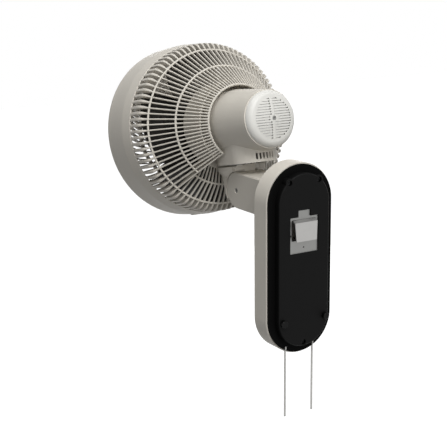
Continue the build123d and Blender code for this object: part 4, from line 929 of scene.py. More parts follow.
# ---------------------------------------------------------------- wall base
@dataclass
class WallBase:
    """The pill-shaped base with its arm, cover, hanger, feet and screws.

    A depth is a distance from the wall.
    """

    workshop: Workshop
    moulder: MouldedEdges
    middle_z: float = -48.0
    straight_half: float = 90.0
    half_width: float = 60.0
    lip_depth: float = 21.1
    lip_round: float = 1.3
    lip_slip: float = 0.5
    front_depth: float = 60.1
    front_round: float = 11.0
    root_round: float = 10.0
    arm_round: float = 3.0
    arm_half: float = 26.0
    arm_top: float = 67.5
    arm_low: float = 8.5
    arm_gap: float = 1.0
    arm_turns: Point2 = (30.0, 60.0)
    panel_depth: float = 6.4
    panel_round: float = 3.0
    panel_turns: Point2 = (35.0, 55.0)
    snap: float = 0.02
    flat_leg: float = 2 - math.sqrt(2)

    @staticmethod
    def turns_within(edge: bmesh.types.BMEdge, limits: Point2) -> bool:
        """Whether the faces at an edge turn by an angle between two limits, in degrees."""
        return limits[0] < math.degrees(edge.calc_face_angle(0.0)) < limits[1]

    def in_arm_zone(self, edge: bmesh.types.BMEdge, margin: float) -> bool:
        """Whether both ends of an edge lie within a margin of the arm's outline.

        Args:
            edge: the edge.
            margin: how far outside the outline still counts.

        Returns:
            Whether they do.
        """
        reach = (self.arm_half + margin) * MM
        low, high = (self.arm_low - margin) * MM, (self.arm_top + margin) * MM
        return all(abs(v.co.x) < reach and low < v.co.z < high for v in edge.verts)

    def at_depth(self, edge: bmesh.types.BMEdge, depth: float) -> bool:
        """Whether an edge lies in a plane at a depth from the wall."""
        return all(abs(v.co.y + depth * MM) < self.snap * MM for v in edge.verts)

    def on_front_bevel(self, edge: bmesh.types.BMEdge) -> bool:
        """Whether an edge belongs to the large bevel round the front of the base.

        Args:
            edge: the edge.

        Returns:
            Whether it does.
        """
        side_line = self.at_depth(edge, self.front_depth - self.flat_leg * self.front_round)
        face_line = self.at_depth(edge, self.front_depth)
        return (side_line and not self.in_arm_zone(edge, 0)) or (
            face_line and not self.in_arm_zone(edge, self.root_round)
        )

    def on_lip(self, edge: bmesh.types.BMEdge) -> bool:
        """Whether an edge is the outer one of the lip that stands round the cover.

        Args:
            edge: the edge.

        Returns:
            Whether it is.
        """
        past = [max(abs(v.co.z / MM - self.middle_z) - self.straight_half, 0) for v in edge.verts]
        reach = [math.hypot(v.co.x / MM, far) for v, far in zip(edge.verts, past)]
        return self.at_depth(edge, self.lip_depth) and min(reach) > self.half_width - self.lip_slip

    def on_arm_root(self, edge: bmesh.types.BMEdge) -> bool:
        """Whether an edge belongs to the bevel where the arm leaves the base.

        Args:
            edge: the edge.

        Returns:
            Whether it does.
        """
        near = self.in_arm_zone(edge, self.root_round)
        on_arm = self.at_depth(edge, self.front_depth + self.flat_leg * self.root_round)
        return near and (on_arm or self.at_depth(edge, self.front_depth))

    def on_arm_edge(self, edge: bmesh.types.BMEdge) -> bool:
        """Whether an edge runs along the arm, on one side of its bevel.

        Args:
            edge: the edge.

        Returns:
            Whether it does.
        """
        inner = (self.arm_half - self.flat_leg * self.arm_round) * MM
        aside = [abs(v.co.x) for v in edge.verts]
        line = any(
            all(abs(x - reach) < self.snap * MM for x in aside)
            for reach in (inner, self.arm_half * MM)
        )
        past_front = all(v.co.y < -(self.front_depth + self.arm_gap) * MM for v in edge.verts)
        return line and past_front and self.turns_within(edge, self.arm_turns)

    def on_panel_edge(self, edge: bmesh.types.BMEdge) -> bool:
        """Whether an edge belongs to the bevel round the raised panel of the cover.

        Args:
            edge: the edge.

        Returns:
            Whether it does.
        """
        foot = self.panel_depth + self.flat_leg * self.panel_round
        return self.turns_within(edge, self.panel_turns) and (
            self.at_depth(edge, self.panel_depth) or self.at_depth(edge, foot)
        )

    def build(self) -> None:
        """Build every piece of the base."""
        self.moulder.build(
            "base_shell",
            [
                Rounding(self.on_arm_edge, self.arm_round),
                Rounding(self.on_arm_root, self.root_round),
                Rounding(self.on_front_bevel, self.front_round),
                Rounding(self.on_lip, self.lip_round),
            ],
            segments=5,
        )
        panel = Rounding(self.on_panel_edge, self.panel_round)
        self.moulder.build("rear_cover", [panel], edge_break=0.5, segments=3)
        # bent sheet: each of its flats keeps its own shade
        hanger = self.moulder.build("hanger_plate", edge_break=0.2)
        hanger.data.attributes.remove(hanger.data.attributes["custom_normal"])
        hanger.data.shade_flat()
        self.moulder.build_small(
            [
                ("wall_feet", 1.4, 4),
                ("cover_screws", 0.3, 2),
                ("cord_guides", 0.5, 2),
                ("tilt_bolt", 0.4, 2),
                ("tilt_nut", 0.3, 2),
            ]
        )


# ---------------------------------------------------------------- the head
# radius and station of the seam between the band of the rear guard and the front rim
SEAM = (146.2, 188.0)
BAND_FLATS = 176


@dataclass
class HeadPiece:
    """What every piece made in head coordinates shares."""

    workshop: Workshop
    head: HeadFrame

    def complete(self, name: str, meshes: Sequence[bpy.types.Mesh]) -> bpy.types.Object:
        """Join a piece's meshes, bring them to their place, and let them stand for a node.

        Args:
            name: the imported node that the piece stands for.
            meshes: the parts of the piece, in head coordinates.

        Returns:
            The finished piece.
        """
        mesh = joined(meshes)
        mesh.transform(self.head.matrix)
        piece = new_object(name + "_moulded", mesh)
        piece.modifiers.new("even_shade", "WEIGHTED_NORMAL").keep_sharp = True
        apply_modifiers(piece)
        return self.workshop.place(piece, name)


@dataclass
class RearGuard(HeadPiece):
    """The lattice behind the wheel: spokes, rings, hub plate, pocket and smooth band."""

    spokes: int = 88
    pocket_spokes: int = 20
    spoke_width: float = 2.2
    spoke_depth: float = 4.5
    spoke_round: float = 0.7
    ring_radius: float = 1.75
    ring_sunk: float = 1.7
    ring_lead: float = 1.7
    outer_lean: float = 45.0
    inner_radius: float = 63.5
    mid: Point2 = (98.5, 44.7)
    outer: Point2 = (129.5, 81.0)
    shoulder: Point2 = (141.0, 91.0)
    shoulder_depth: float = 12.0
    shoulder_width: float = 5.0
    shoulder_rise: Point2 = (7.3, 5.6)
    shoulder_crest: Point2 = (-1.0, -0.2)
    shoulder_fall: Point2 = (0.8, 8.0)
    band_radius: float = SEAM[0]
    band_station: float = 143.0
    band_sheet: float = 2.6
    seam_station: float = SEAM[1]
    skirt: Point2 = (142.7, 120.0)
    skirt_lap: Point2 = (3.0, 6.0)
    floor: Point2 = (100.0, 65.0)
    floor_ring: float = 97.0
    hub_radius: float = 71.0
    hub_bore: float = 14.2
    hub_sheet: float = 3.0
    hub_rounds: Point3 = (0.6, 0.8, 0.4)
    rim_wall: float = 2.4
    rim_foot: float = 4.0
    rim_sunk: float = 0.5
    slip: float = 0.2

    def __post_init__(self) -> None:
        """Work out the angles of the lattice and the slope of its cone."""
        self.step = 360 / self.spokes
        self.pocket_half = self.step * (self.pocket_spokes + 1) / 2
        run = Vector((self.outer[0] - self.inner_radius, self.outer[1])).normalized()
        self.inward = Vector((-run.y, run.x))
        self.cone_lean = math.atan2(self.mid[1], self.mid[0] - self.inner_radius)
        self.hub_cone = (
            self.mid[1] * (self.hub_radius - self.inner_radius) / (self.mid[0] - self.inner_radius)
        )

    def inside(self, point: Point2, depth: float) -> Point2:
        """A point of the cone moved inwards by a depth."""
        return tuple(Vector(point) + self.inward * depth)

    def shoulder_outline(self) -> list[Point2]:
        """Outline a spoke from the outer ring round the shoulder, into the band and back.

        Returns:
            The points, from the outer ring on the outside to the same ring on the inside.
        """
        top_r, top_s = self.shoulder
        skirt_r, skirt_s = self.skirt
        bend = arc_points(
            shifted(self.outer, self.shoulder_rise),
            shifted(self.shoulder, self.shoulder_crest),
            shifted(self.shoulder, self.shoulder_fall),
            flats=5,
        )
        return [
            self.outer,
            *bend,
            (skirt_r - self.slip, skirt_s + self.skirt_lap[0]),
            (skirt_r - self.band_sheet + self.slip, skirt_s + self.skirt_lap[1]),
            (top_r - self.shoulder_depth, top_s + self.shoulder_depth / 2),
            self.inside(self.outer, self.spoke_depth),
        ]

    def outlines(self) -> tuple[list[Point2], list[Point2], list[Point2]]:
        """Outline the three kinds of spoke.

        Returns:
            Outlines of a plain spoke, a spoke of the pocket, and a web beside the pocket.
        """
        run = Vector((self.inward.y, -self.inward.x))
        start = tuple(Vector((self.inner_radius, 0)) - run * self.ring_lead)
        edge = [self.inside(start, self.spoke_depth), start, self.mid, *self.shoulder_outline()]
        grip = self.hub_radius - self.rim_wall / 2
        floor_r, floor_s = self.floor
        root = [(floor_r - 1, floor_s + self.spoke_depth), (grip, floor_s + self.hub_sheet)]
        plain = [*edge, self.inside(self.mid, self.spoke_depth)]
        pocket = [(grip, floor_s), self.floor, *self.shoulder_outline(), *root]
        web = [*edge, *root, (grip, self.hub_cone + self.spoke_depth + self.rim_foot)]
        return plain, pocket, web

    def spoke_rows(self, row: ShapeTree, finish: bpy.types.Material) -> list[bpy.types.Mesh]:
        """Make all the spokes, which widen towards the shoulder.

        Args:
            row: the tree that repeats a spoke.
            finish: the material.

        Returns:
            A mesh for each kind of spoke.
        """
        plain, pocket, web = (
            flat_bar(outline, self.spoke_width, self.spoke_round) for outline in self.outlines()
        )
        swell = self.shoulder_width / self.spoke_width - 1
        for template in (plain, pocket, web):
            for vertex in template.vertices:
                share = (-vertex.co.y - self.outer[0]) / (self.shoulder[0] - self.outer[0])
                vertex.co.x *= 1 + swell * min(max(share, 0.0), 1.0)
        full = self.spokes - self.pocket_spokes
        # each kind of spoke with its number, its first angle and the step to the next one
        rows = (
            (plain, full - 2, self.pocket_half + self.step, self.step),
            (web, 2, self.pocket_half, (full - 1) * self.step),
            (pocket, self.pocket_spokes, self.step - self.pocket_half, self.step),
        )
        return [
            row.run(
                {
                    "Count": count,
                    "First": math.radians(first),
                    "Step": math.radians(step),
                    "Finish": finish,
                },
                template,
            )
            for template, count, first, step in rows
        ]

    def rings(self, ring: ShapeTree, finish: bpy.types.Material) -> list[bpy.types.Mesh]:
        """Make the rings that tie the spokes, and the one across the pocket's floor.

        Args:
            ring: the tree that makes a ring.
            finish: the material.

        Returns:
            A mesh for each ring.
        """
        over = 360 - 2 * self.pocket_half
        # radius, station and lean of each ring, and where round the axis it starts and ends
        places = (
            (self.inner_radius, 0.0, self.cone_lean, self.pocket_half, over),
            (*self.mid, self.cone_lean, self.pocket_half, over),
            (*self.outer, math.radians(self.outer_lean), 0.0, 360.0),
            (self.floor_ring, self.floor[1], 0.0, -self.pocket_half, 2 * self.pocket_half),
        )
        meshes = []
        for radius, station, lean, first, sweep in places:
            flats = 2 * round(self.spokes * sweep / 360)
            closed = sweep > WHOLE_SWEEP
            meshes.append(
                ring.run(
                    {
                        "Flats": flats if closed else flats + 1,
                        "Radius": radius - self.ring_sunk * math.sin(lean),
                        "Station": station + self.ring_sunk * math.cos(lean),
                        # the tree counts from the side, the guard from straight down
                        "First": math.radians(first - 90),
                        "Sweep": math.radians(sweep * (1 - 1 / flats) if closed else sweep),
                        "Closed": closed,
                        "Wire radius": self.ring_radius,
                        "Finish": finish,
                    }
                )
            )
        return meshes

    def hub(self) -> list[bpy.types.Mesh]:
        """Make the hub plate and the rim that stands on it, open over the pocket.

        Returns:
            The plate and the rim.
        """
        low, top = self.floor[1], self.floor[1] + self.hub_sheet
        inner, outer = self.hub_radius - self.rim_wall, self.hub_radius
        foot, head = self.hub_cone + self.rim_foot, top - self.rim_sunk
        bore_round, edge_round, seat_round = self.hub_rounds
        plate = [
            (self.hub_bore, low, bore_round),
            (self.hub_bore, top, bore_round),
            (outer, top, edge_round),
            (outer, low, edge_round),
        ]
        wall = [
            (inner, foot, edge_round),
            (inner, head, seat_round),
            (outer, head, seat_round),
            (outer, foot, edge_round),
        ]
        return [
            turned(rounded(plate, flats=2)),
            turned(
                rounded(wall, flats=3), first=self.pocket_half, sweep=360 - 2 * self.pocket_half
            ),
        ]

    def band(self) -> bpy.types.Mesh:
        """Make the smooth band, and the skirt that slopes in between the spokes.

        Returns:
            The mesh.
        """
        radius, sheet = self.band_radius, self.band_sheet
        skirt_r, skirt_s = self.skirt
        sheet_outline = [
            (skirt_r, skirt_s, 1.0),
            (radius, self.band_station, 40.0),
            (radius, self.seam_station, 0.5),
            (radius - sheet, self.seam_station, 0.5),
            (radius - sheet, self.band_station, 40.0),
            (skirt_r - sheet, skirt_s, 1.0),
        ]
        return turned(rounded(sheet_outline, flats=4), flats=BAND_FLATS)

    def build(self) -> None:
        """Build the whole guard as one moulding."""
        plastic = self.workshop.materials["body_plastic"]
        self.complete(
            "rear_guard",
            [
                *self.spoke_rows(polar_row_tree(), plastic),
                *self.rings(wire_ring_tree(), plastic),
                *self.hub(),
                self.band(),
            ],
        )


@dataclass
class FrontGuard(HeadPiece):
    """The grille in front of the wheel: swirling ribs, rings, a crowned centre and the rim."""

    ribs: int = 72
    rib_width: float = 1.8
    rib_depth: float = 13.0
    rib_round: float = 0.6
    rib_swirl: float = 34.0
    rib_bow: float = 11.0
    rib_flats: int = 14
    centre_radius: float = 31.0
    crown: tuple[Point2, ...] = ((0.0, 0.0), (16.0, 0.5), (29.0, 1.6), (30.4, 2.2), (31.0, 3.2))
    tie_radius: float = 88.0
    band_radius: float = SEAM[0]
    lap_radius: float = 143.4
    lap: float = 6.0
    rim_wall: float = 2.4
    rim_width: float = 7.0
    seam_station: float = SEAM[1]
    front_station: float = 200.0
    seat: float = 0.02

    def __post_init__(self) -> None:
        """Work out where the grille sits in its rim."""
        self.bore = self.lap_radius - self.rim_wall
        self.outer = self.bore - self.seat
        self.rib_front = self.front_station - self.rim_wall - self.seat
        self.rib_middle = self.rib_front - self.rib_depth / 2

    def spot(self, radius: float, angle: float) -> Point3:
        """A point in the middle plane of the ribs."""
        turn = math.radians(angle)
        return (radius * math.cos(turn), radius * math.sin(turn), self.rib_middle)

    def hoop(self, inner: float, outer: float, edge_round: float) -> bpy.types.Mesh:
        """Make a flat hoop as deep as the ribs.

        Args:
            inner: its inner radius.
            outer: its outer radius.
            edge_round: round of its edges.

        Returns:
            The mesh.
        """
        back, front = self.rib_front - self.rib_depth, self.rib_front
        corners = [(inner, back), (inner, front), (outer, front), (outer, back)]
        return turned(rounded([(*corner, edge_round) for corner in corners], flats=2))

    def centre(self) -> bpy.types.Mesh:
        """Make the centre disc, slightly crowned.

        Returns:
            The mesh.
        """
        back = self.rib_front - self.rib_depth
        start, middle, end, *edge = [(r, self.rib_front - drop) for r, drop in self.crown]
        face = arc_points(start, middle, end, flats=6)
        return turned([(0.0, back), *face, *edge, (self.centre_radius, back)])

    def rim(self) -> bpy.types.Mesh:
        """Make the rim that laps inside the band, with its flange in front of the grille.

        Returns:
            The mesh.
        """
        seam, front = self.seam_station, self.front_station
        inner = self.band_radius - self.rim_width
        outline = [
            (self.band_radius, seam, 0.5),
            (self.band_radius, front, 4.5),
            (inner, front, 1.0),
            (inner, front - self.rim_wall, 0.6),
            (self.bore, front - self.rim_wall, 0.0),
            (self.bore, seam - self.lap, 0.6),
            (self.lap_radius, seam - self.lap, 0.6),
            (self.lap_radius, seam, 0.0),
        ]
        return turned(rounded(outline, flats=5), flats=BAND_FLATS)

    def build(self) -> None:
        """Build the grille and its rim."""
        ribs = swirl_rib_tree().run(
            {
                "Flats": self.rib_flats,
                "Root": self.spot(self.centre_radius - self.rib_width / 2, 0.0),
                "Bow": self.spot((self.centre_radius + self.outer) / 2, self.rib_bow),
                "Tip": self.spot(self.outer - self.rim_wall / 2, self.rib_swirl),
                "Width": self.rib_width,
                "Depth": self.rib_depth,
                "Edge round": self.rib_round,
                "Count": self.ribs,
                "First": 0.0,
                "Step": TURN / self.ribs,
                "Finish": self.workshop.materials["body_plastic"],
            }
        )
        half = self.rib_width / 2
        self.complete(
            "front_guard",
            [
                ribs,
                self.hoop(self.outer - self.rim_wall, self.outer, 0.5),
                self.hoop(self.tie_radius - half, self.tie_radius + half, 0.6),
                self.centre(),
            ],
        )
        self.complete("front_rim", [self.rim()])


@dataclass
class FanWheel(HeadPiece):
    """The fan wheel: sickle blades with a cambered section on a cupped hub.

    The places that shape a blade are shares: of the tip's radius outwards, and of half the
    chord sideways.
    """

    blades: int = 5
    first_angle: float = 28.0
    tip_radius: float = 130.0
    hub_radius: float = 25.0
    hub_station: float = 88.0
    hub_length: float = 30.0
    hub_wall: float = 2.5
    shaft_radius: float = 4.02
    boss_radius: float = 8.0
    cup_floor: float = 6.0
    nose: Point2 = (9.0, 3.0)
    half_chord: float = 70.0
    root_share: float = 0.45
    root_sunk: float = 3.0
    skin_sunk: float = 1.2
    tip_stop: float = 0.05
    belly_front: Point2 = (0.45, 0.86)
    belly_back: Point2 = (0.55, -0.66)
    tip_front: Point2 = (0.80, 0.96)
    tip_crest: Point2 = (1.0, 0.12)
    tip_back: Point2 = (0.88, -0.80)
    pitch: float = 20.0
    camber: float = 9.0
    sheet: float = 2.2
    rim_share: float = 0.45
    lead: float = 8.0
    rows: int = 26
    columns: int = 16

    def spot(self, share: Point2) -> Point2:
        """Reach and sideways place of a point that is given by its shares."""
        return share[0] * self.tip_radius, share[1] * self.half_chord

    def edges(self) -> tuple[list[Point2], list[Point2]]:
        """Lay out the rear and the leading edge of a blade.

        Returns:
            Both edges from root to tip, each point with its reach and sideways place.
        """
        root, aside = self.hub_radius - self.root_sunk, self.root_share * self.half_chord
        tip_front, tip_back = self.spot(self.tip_front), self.spot(self.tip_back)
        round_tip = arc_points(tip_front, self.spot(self.tip_crest), tip_back, flats=40)
        turning = max(range(len(round_tip)), key=lambda i: round_tip[i][0])
        front = arc_points((root, aside), self.spot(self.belly_front), tip_front, flats=20)
        back = arc_points((root, -aside), self.spot(self.belly_back), tip_back, flats=20)
        return back + round_tip[:turning:-1], front + round_tip[: turning + 1]

    @staticmethod
    def across_at(edge: Sequence[Point2], reach: float) -> float:
        """Find the sideways place of an edge where it has a given reach.

        Args:
            edge: the edge, from root to tip.
            reach: the distance from the fan axis.

        Returns:
            The sideways place.
        """
        for (r0, u0), (r1, u1) in zip(edge, edge[1:]):
            if r0 <= reach <= r1:
                return u0 + (u1 - u0) * (reach - r0) / max(r1 - r0, TINY)
        return edge[-1][1]

    def blade(self) -> bpy.types.Mesh:
        """Make one blade that points straight down.

        Returns:
            The mesh, in head coordinates.
        """
        back, front = self.edges()
        start = self.hub_radius - self.skin_sunk
        end = min(back[-1][0], front[-1][0]) - self.tip_stop
        middle = self.hub_station + self.hub_length / 2 + self.lead
        slope = math.tan(math.radians(self.pitch))
        half_run = self.half_chord * math.cos(math.radians(self.pitch))
        form = bmesh.new()
        grid = []
        for row in range(self.rows + 1):
            share = math.sin(row / self.rows * math.pi / 2)
            reach = start + (end - start) * share
            low, high = self.across_at(back, reach), self.across_at(front, reach)
            line = []
            for column in range(self.columns + 1):
                aside = low + (high - low) * column / self.columns
                station = middle - aside * slope - self.camber * (1 - (aside / half_run) ** 2)
                line.append(form.verts.new((-aside, -reach, station)))
            grid.append(line)
        for line, following in zip(grid, grid[1:]):
            for column in range(self.columns):
                form.faces.new(
                    (line[column], line[column + 1], following[column + 1], following[column])
                )
        vane = new_object("blade", closed_mesh(form, "blade"))
        skin = vane.modifiers.new("sheet", "SOLIDIFY")
        skin.thickness = self.sheet
        skin.offset = 0.0
        rim = vane.modifiers.new("rim", "BEVEL")
        rim.width = self.rim_share * self.sheet
        rim.segments = 3
        rim.limit_method = "ANGLE"
        rim.angle_limit = math.radians(60)
        solid = evaluated_mesh(vane)
        bpy.data.objects.remove(vane)
        return solid

    def hub(self) -> bpy.types.Mesh:
        """Make the cupped hub with its boss for the shaft.

        Returns:
            The mesh.
        """
        back, front = self.hub_station, self.hub_station + self.hub_length
        floor, inner = front - self.cup_floor, self.hub_radius - self.hub_wall
        outline = [
            (self.shaft_radius, back, 0.0),
            (self.boss_radius, back, 0.6),
            (self.boss_radius, floor, 1.0),
            (inner, floor, 1.5),
            (inner, back, 0.8),
            (self.hub_radius, back, 0.8),
            (self.hub_radius, front - self.nose[1], 6.0),
            (self.hub_radius - self.nose[0], front, 6.0),
            (self.shaft_radius, front, 0.0),
        ]
        return turned(rounded(outline, flats=5), flats=96)

    def build(self) -> None:
        """Build the wheel."""
        vanes = polar_row_tree().run(
            {
                "Count": self.blades,
                "First": math.radians(self.first_angle),
                "Step": TURN / self.blades,
                "Finish": self.workshop.materials["blade_plastic"],
            },
            self.blade(),
        )
        self.complete("fan_blade", [vanes, self.hub()])


@dataclass
class MotorHead(HeadPiece):
    """The motor housing with its pod, the rear cap, the neck and their small pieces."""

    moulder: MouldedEdges
    cap_rim: Point2 = (44.4, -80.0)
    cap_shoulder: Point2 = (41.4, -86.9)
    cap_face: float = -94.0
    cap_crown: float = 3.8
    face_radius: float = 34.0
    cap_wall: float = 2.5
    cap_lip: float = 1.5
    cap_draft: Point2 = (-0.4, -3.0)
    crown_flats: int = 8
    well_radius: float = 3.6
    well_floor: float = -91.4
    bore_radius: float = 2.2
    post_radius: float = 6.0
    post_end: float = -84.0
    slit_rows: int = 16
    slit_pitch: float = 4.05
    slit_reach: float = 31.6
    slit_height: float = 0.6
    slit_depth: float = 3.6
    slit_starts: Point2 = (4.9, 0.8)
    boss_reach: float = 8.2
    hole_radius: float = 1.3
    cutter_proud: float = 1.0
    sharp_turn: float = 32.0
    pod_fillet: float = 6.0
    pod_low: float = 65.0
    pod_foot_round: float = 1.0
    joint_ring: Point2 = (44.0, 62.0)
    joint_low: float = -52.0
    joint_front: float = 58.0
    joint_turn: float = 20.0
    neck_round: float = 2.0
    turret_top: float = 66.8
    turret_round: float = 0.5
    turret_drop: float = 1.8
    turret_band: float = 0.6
    swing_bore: float = 20.0
    snap: float = 0.05

    def local(self, vertex: bmesh.types.BMVert | bpy.types.MeshVertex) -> Vector:
        """A vertex in head coordinates."""
        return self.head.matrix.inverted() @ vertex.co

    def face_at(self, x: float, y: float) -> float:
        """Station of the crowned face of the cap at a point."""
        return self.cap_face + self.cap_crown * (x * x + y * y) / self.face_radius**2

    def cap_shell(self) -> bpy.types.Mesh:
        """Make the cap without its slits: crowned face, soft edge, and post of the screw.

        Returns:
            The mesh, in head coordinates.
        """
        rim_r, rim_s = self.cap_rim
        well, face, post = self.well_radius, self.face_radius, self.post_radius
        inner = rim_r - self.cap_wall
        edge = (face, self.face_at(face, 0))
        radii = [well + (face - well) * i / self.crown_flats for i in range(self.crown_flats)]
        return turned(
            [
                (self.bore_radius, self.well_floor),
                (well, self.well_floor),
                *[(radius, self.face_at(radius, 0)) for radius in radii],
                *arc_points(edge, self.cap_shoulder, (rim_r, rim_s - self.cap_lip), flats=8),
                self.cap_rim,
                (inner, rim_s),
                shifted((inner, rim_s), self.cap_draft),
                (face - 1, edge[1] + self.cap_wall),
                (post, self.face_at(post, 0) + self.cap_wall),
                (post, self.post_end),
                (self.bore_radius, self.post_end),
            ]
        )

    def slit(self, form: bmesh.types.BMesh, start: float, end: float, height: float) -> None:
        """Add the cutter of one slit, which follows the crown of the face.

        Args:
            form: the bmesh that takes the cutter.
            start: sideways place of its one end.
            end: sideways place of its other end.
            height: its height in head coordinates.
        """
        half, out, deep = self.slit_height / 2, -self.cutter_proud, self.slit_depth
        section = ((-half, out), (half, out), (half, deep), (-half, deep))
        rows = []
        for step in range(self.crown_flats + 1):
            x = start + (end - start) * step / self.crown_flats
            top = self.face_at(x, height)
            rows.append([form.verts.new((x, height + rise, top + sunk)) for rise, sunk in section])
        join_rows(form, rows, whole=False)

    def hole(self, form: bmesh.types.BMesh, x: float, height: float) -> None:
        """Add the cutter of the round hole that ends a slit.

        Args:
            form: the bmesh that takes the cutter.
            x: its sideways place.
            height: its height in head coordinates.
        """
        depth = 4 * self.cap_wall
        bmesh.ops.create_cone(
            form,
            cap_ends=True,
            segments=12,
            radius1=self.hole_radius,
            radius2=self.hole_radius,
            depth=depth,
            matrix=Matrix.Translation((x, height, self.face_at(x, height) + depth / 4)),
        )

    def cap(self) -> bpy.types.Mesh:
        """Make the cap with its two columns of slits, each with a round hole at one end.

        Returns:
            The mesh, in head coordinates.
        """
        slits, holes = bmesh.new(), bmesh.new()
        for row in range(self.slit_rows):
            height = (row - (self.slit_rows - 1) / 2) * self.slit_pitch
            reach = math.sqrt(self.slit_reach**2 - height**2)
            beside_boss = abs(height) < self.slit_pitch
            left, right = (max(s, self.boss_reach) if beside_boss else s for s in self.slit_starts)
            self.slit(slits, left, reach, height)
            self.slit(slits, -right, -reach, height)
            self.hole(holes, left, height)
            self.hole(holes, -reach, height)
        blank = new_object("cap", self.cap_shell())
        cutters = []
        for name, form in (("slits", slits), ("holes", holes)):
            cutters.append(new_object(name, closed_mesh(form, name)))
            cut = blank.modifiers.new(name, "BOOLEAN")
            cut.operation = "DIFFERENCE"
            cut.solver = "EXACT"
            cut.object = cutters[-1]
        mesh = evaluated_mesh(blank)
        mesh.set_sharp_from_angle(angle=math.radians(self.sharp_turn))
        for leftover in (blank, *cutters):
            bpy.data.objects.remove(leftover)
        return mesh

    def on_pod_joint(self, edge: bmesh.types.BMEdge) -> bool:
        """Whether an edge is the hollow line where the pod leaves the motor.

        Args:
            edge: the edge.

        Returns:
            Whether it is.
        """
        near, far = self.joint_ring
        outside = all(
            near < place.xy.length < far and place.y > self.joint_low and place.z < self.joint_front
            for place in map(self.local, edge.verts)
        )
        hollow = not edge.is_convex and edge.calc_face_angle(0.0) > math.radians(self.joint_turn)
        return outside and hollow

    def on_level(self, vertex: bmesh.types.BMVert, level: float, reach: float) -> bool:
        """Whether a point lies near a level below the fan axis, outside the swing bore.

        Args:
            vertex: the point.
            level: the distance below the fan axis.
            reach: how near to the level it has to be.

        Returns:
            Whether it does.
        """
        place = self.local(vertex)
        return abs(place.y + level) < reach and place.xz.length > self.swing_bore

    def on_pod_foot(self, edge: bmesh.types.BMEdge) -> bool:
        """Whether an edge runs round the underside of the pod."""
        return all(self.on_level(v, self.pod_low, self.snap) for v in edge.verts)

    def on_turret_top(self, edge: bmesh.types.BMEdge) -> bool:
        """Whether an edge runs round the top of the neck's turret."""
        return all(self.on_level(v, self.turret_top, self.snap) for v in edge.verts)

    def neck(self) -> None:
        """Build the neck, with its turret set back so that the swing gap reads as a dark line."""
        top = Rounding(self.on_turret_top, self.turret_round)
        neck = self.moulder.build("tilt_neck", [top], edge_break=self.neck_round, segments=3)
        down = self.head.matrix.to_3x3() @ Vector((0, -self.turret_drop, 0))
        for vertex in neck.data.vertices:
            if self.on_level(vertex, self.turret_top, self.turret_band):
                vertex.co += down

    def build(self) -> None:
        """Build the pieces round the motor."""
        joint = Rounding(self.on_pod_joint, self.pod_fillet)
        foot = Rounding(self.on_pod_foot, self.pod_foot_round)
        self.moulder.build("motor_housing", [joint, foot], segments=4)
        self.complete("motor_cap", [self.cap()])
        self.moulder.build("cap_screw", edge_break=0.3)
        self.neck()
        self.moulder.build_small(
            [("lock_nut", 0.8, 2), ("spinner_nut", 1.5, 3), ("guard_clip", 0.5, 2)]
        )


# ---------------------------------------------------------------- cords
# the sideways place of each cord
CORDS = {"speed": 25.6, "swing": -25.6}


@dataclass
class PullCord:
    """One braided pull cord, from its plunger through the guide and straight down."""

    workshop: Workshop
    name: str
    across: float
    depth: float = 20.0
    radius: float = 1.6
    top: float = -160.0
    exit: float = -189.0
    low: float = -300.0

    def build(self) -> None:
        """Build the cord on the line of its solid."""
        line = bpy.data.curves.new(self.name + "_braid", "CURVE")
        line.dimensions = "3D"
        line.bevel_depth = self.radius * MM
        line.bevel_resolution = 5
        line.use_fill_caps = True
        middle = (self.exit + self.low) / 2
        route = [(self.across, -self.depth, z) for z in (self.top, self.exit, middle, self.low)]
        spline = line.splines.new("NURBS")
        spline.points.add(len(route) - 1)
        for point, place in zip(spline.points, route):
            point.co = (*(Vector(place) * MM), 1.0)
        spline.order_u = 3
        spline.use_endpoint_u = True
        piece = new_object(self.name + "_braid", line)
        self.workshop.place(piece, self.name + "_cord")


# ---------------------------------------------------------------- studio
@dataclass(frozen=True)
class Lamp:
    """One soft square lamp: where it hangs, its side in metres and its power in watts."""

    name: str
    place: Point3
    side: float
    power: float

    def hang(self, aim: Point3) -> None:
        """Hang the lamp and point it.

        Args:
            aim: what it points at, in metres.
        """
        light = bpy.data.lights.new(self.name, "AREA")
        light.shape = "SQUARE"
        light.size = self.side
        light.energy = self.power
        lamp = new_object(self.name, light)
        lamp.location = self.place
        way = Vector(self.place) - Vector(aim)
        lamp.rotation_euler = way.to_track_quat("Z", "Y").to_euler()


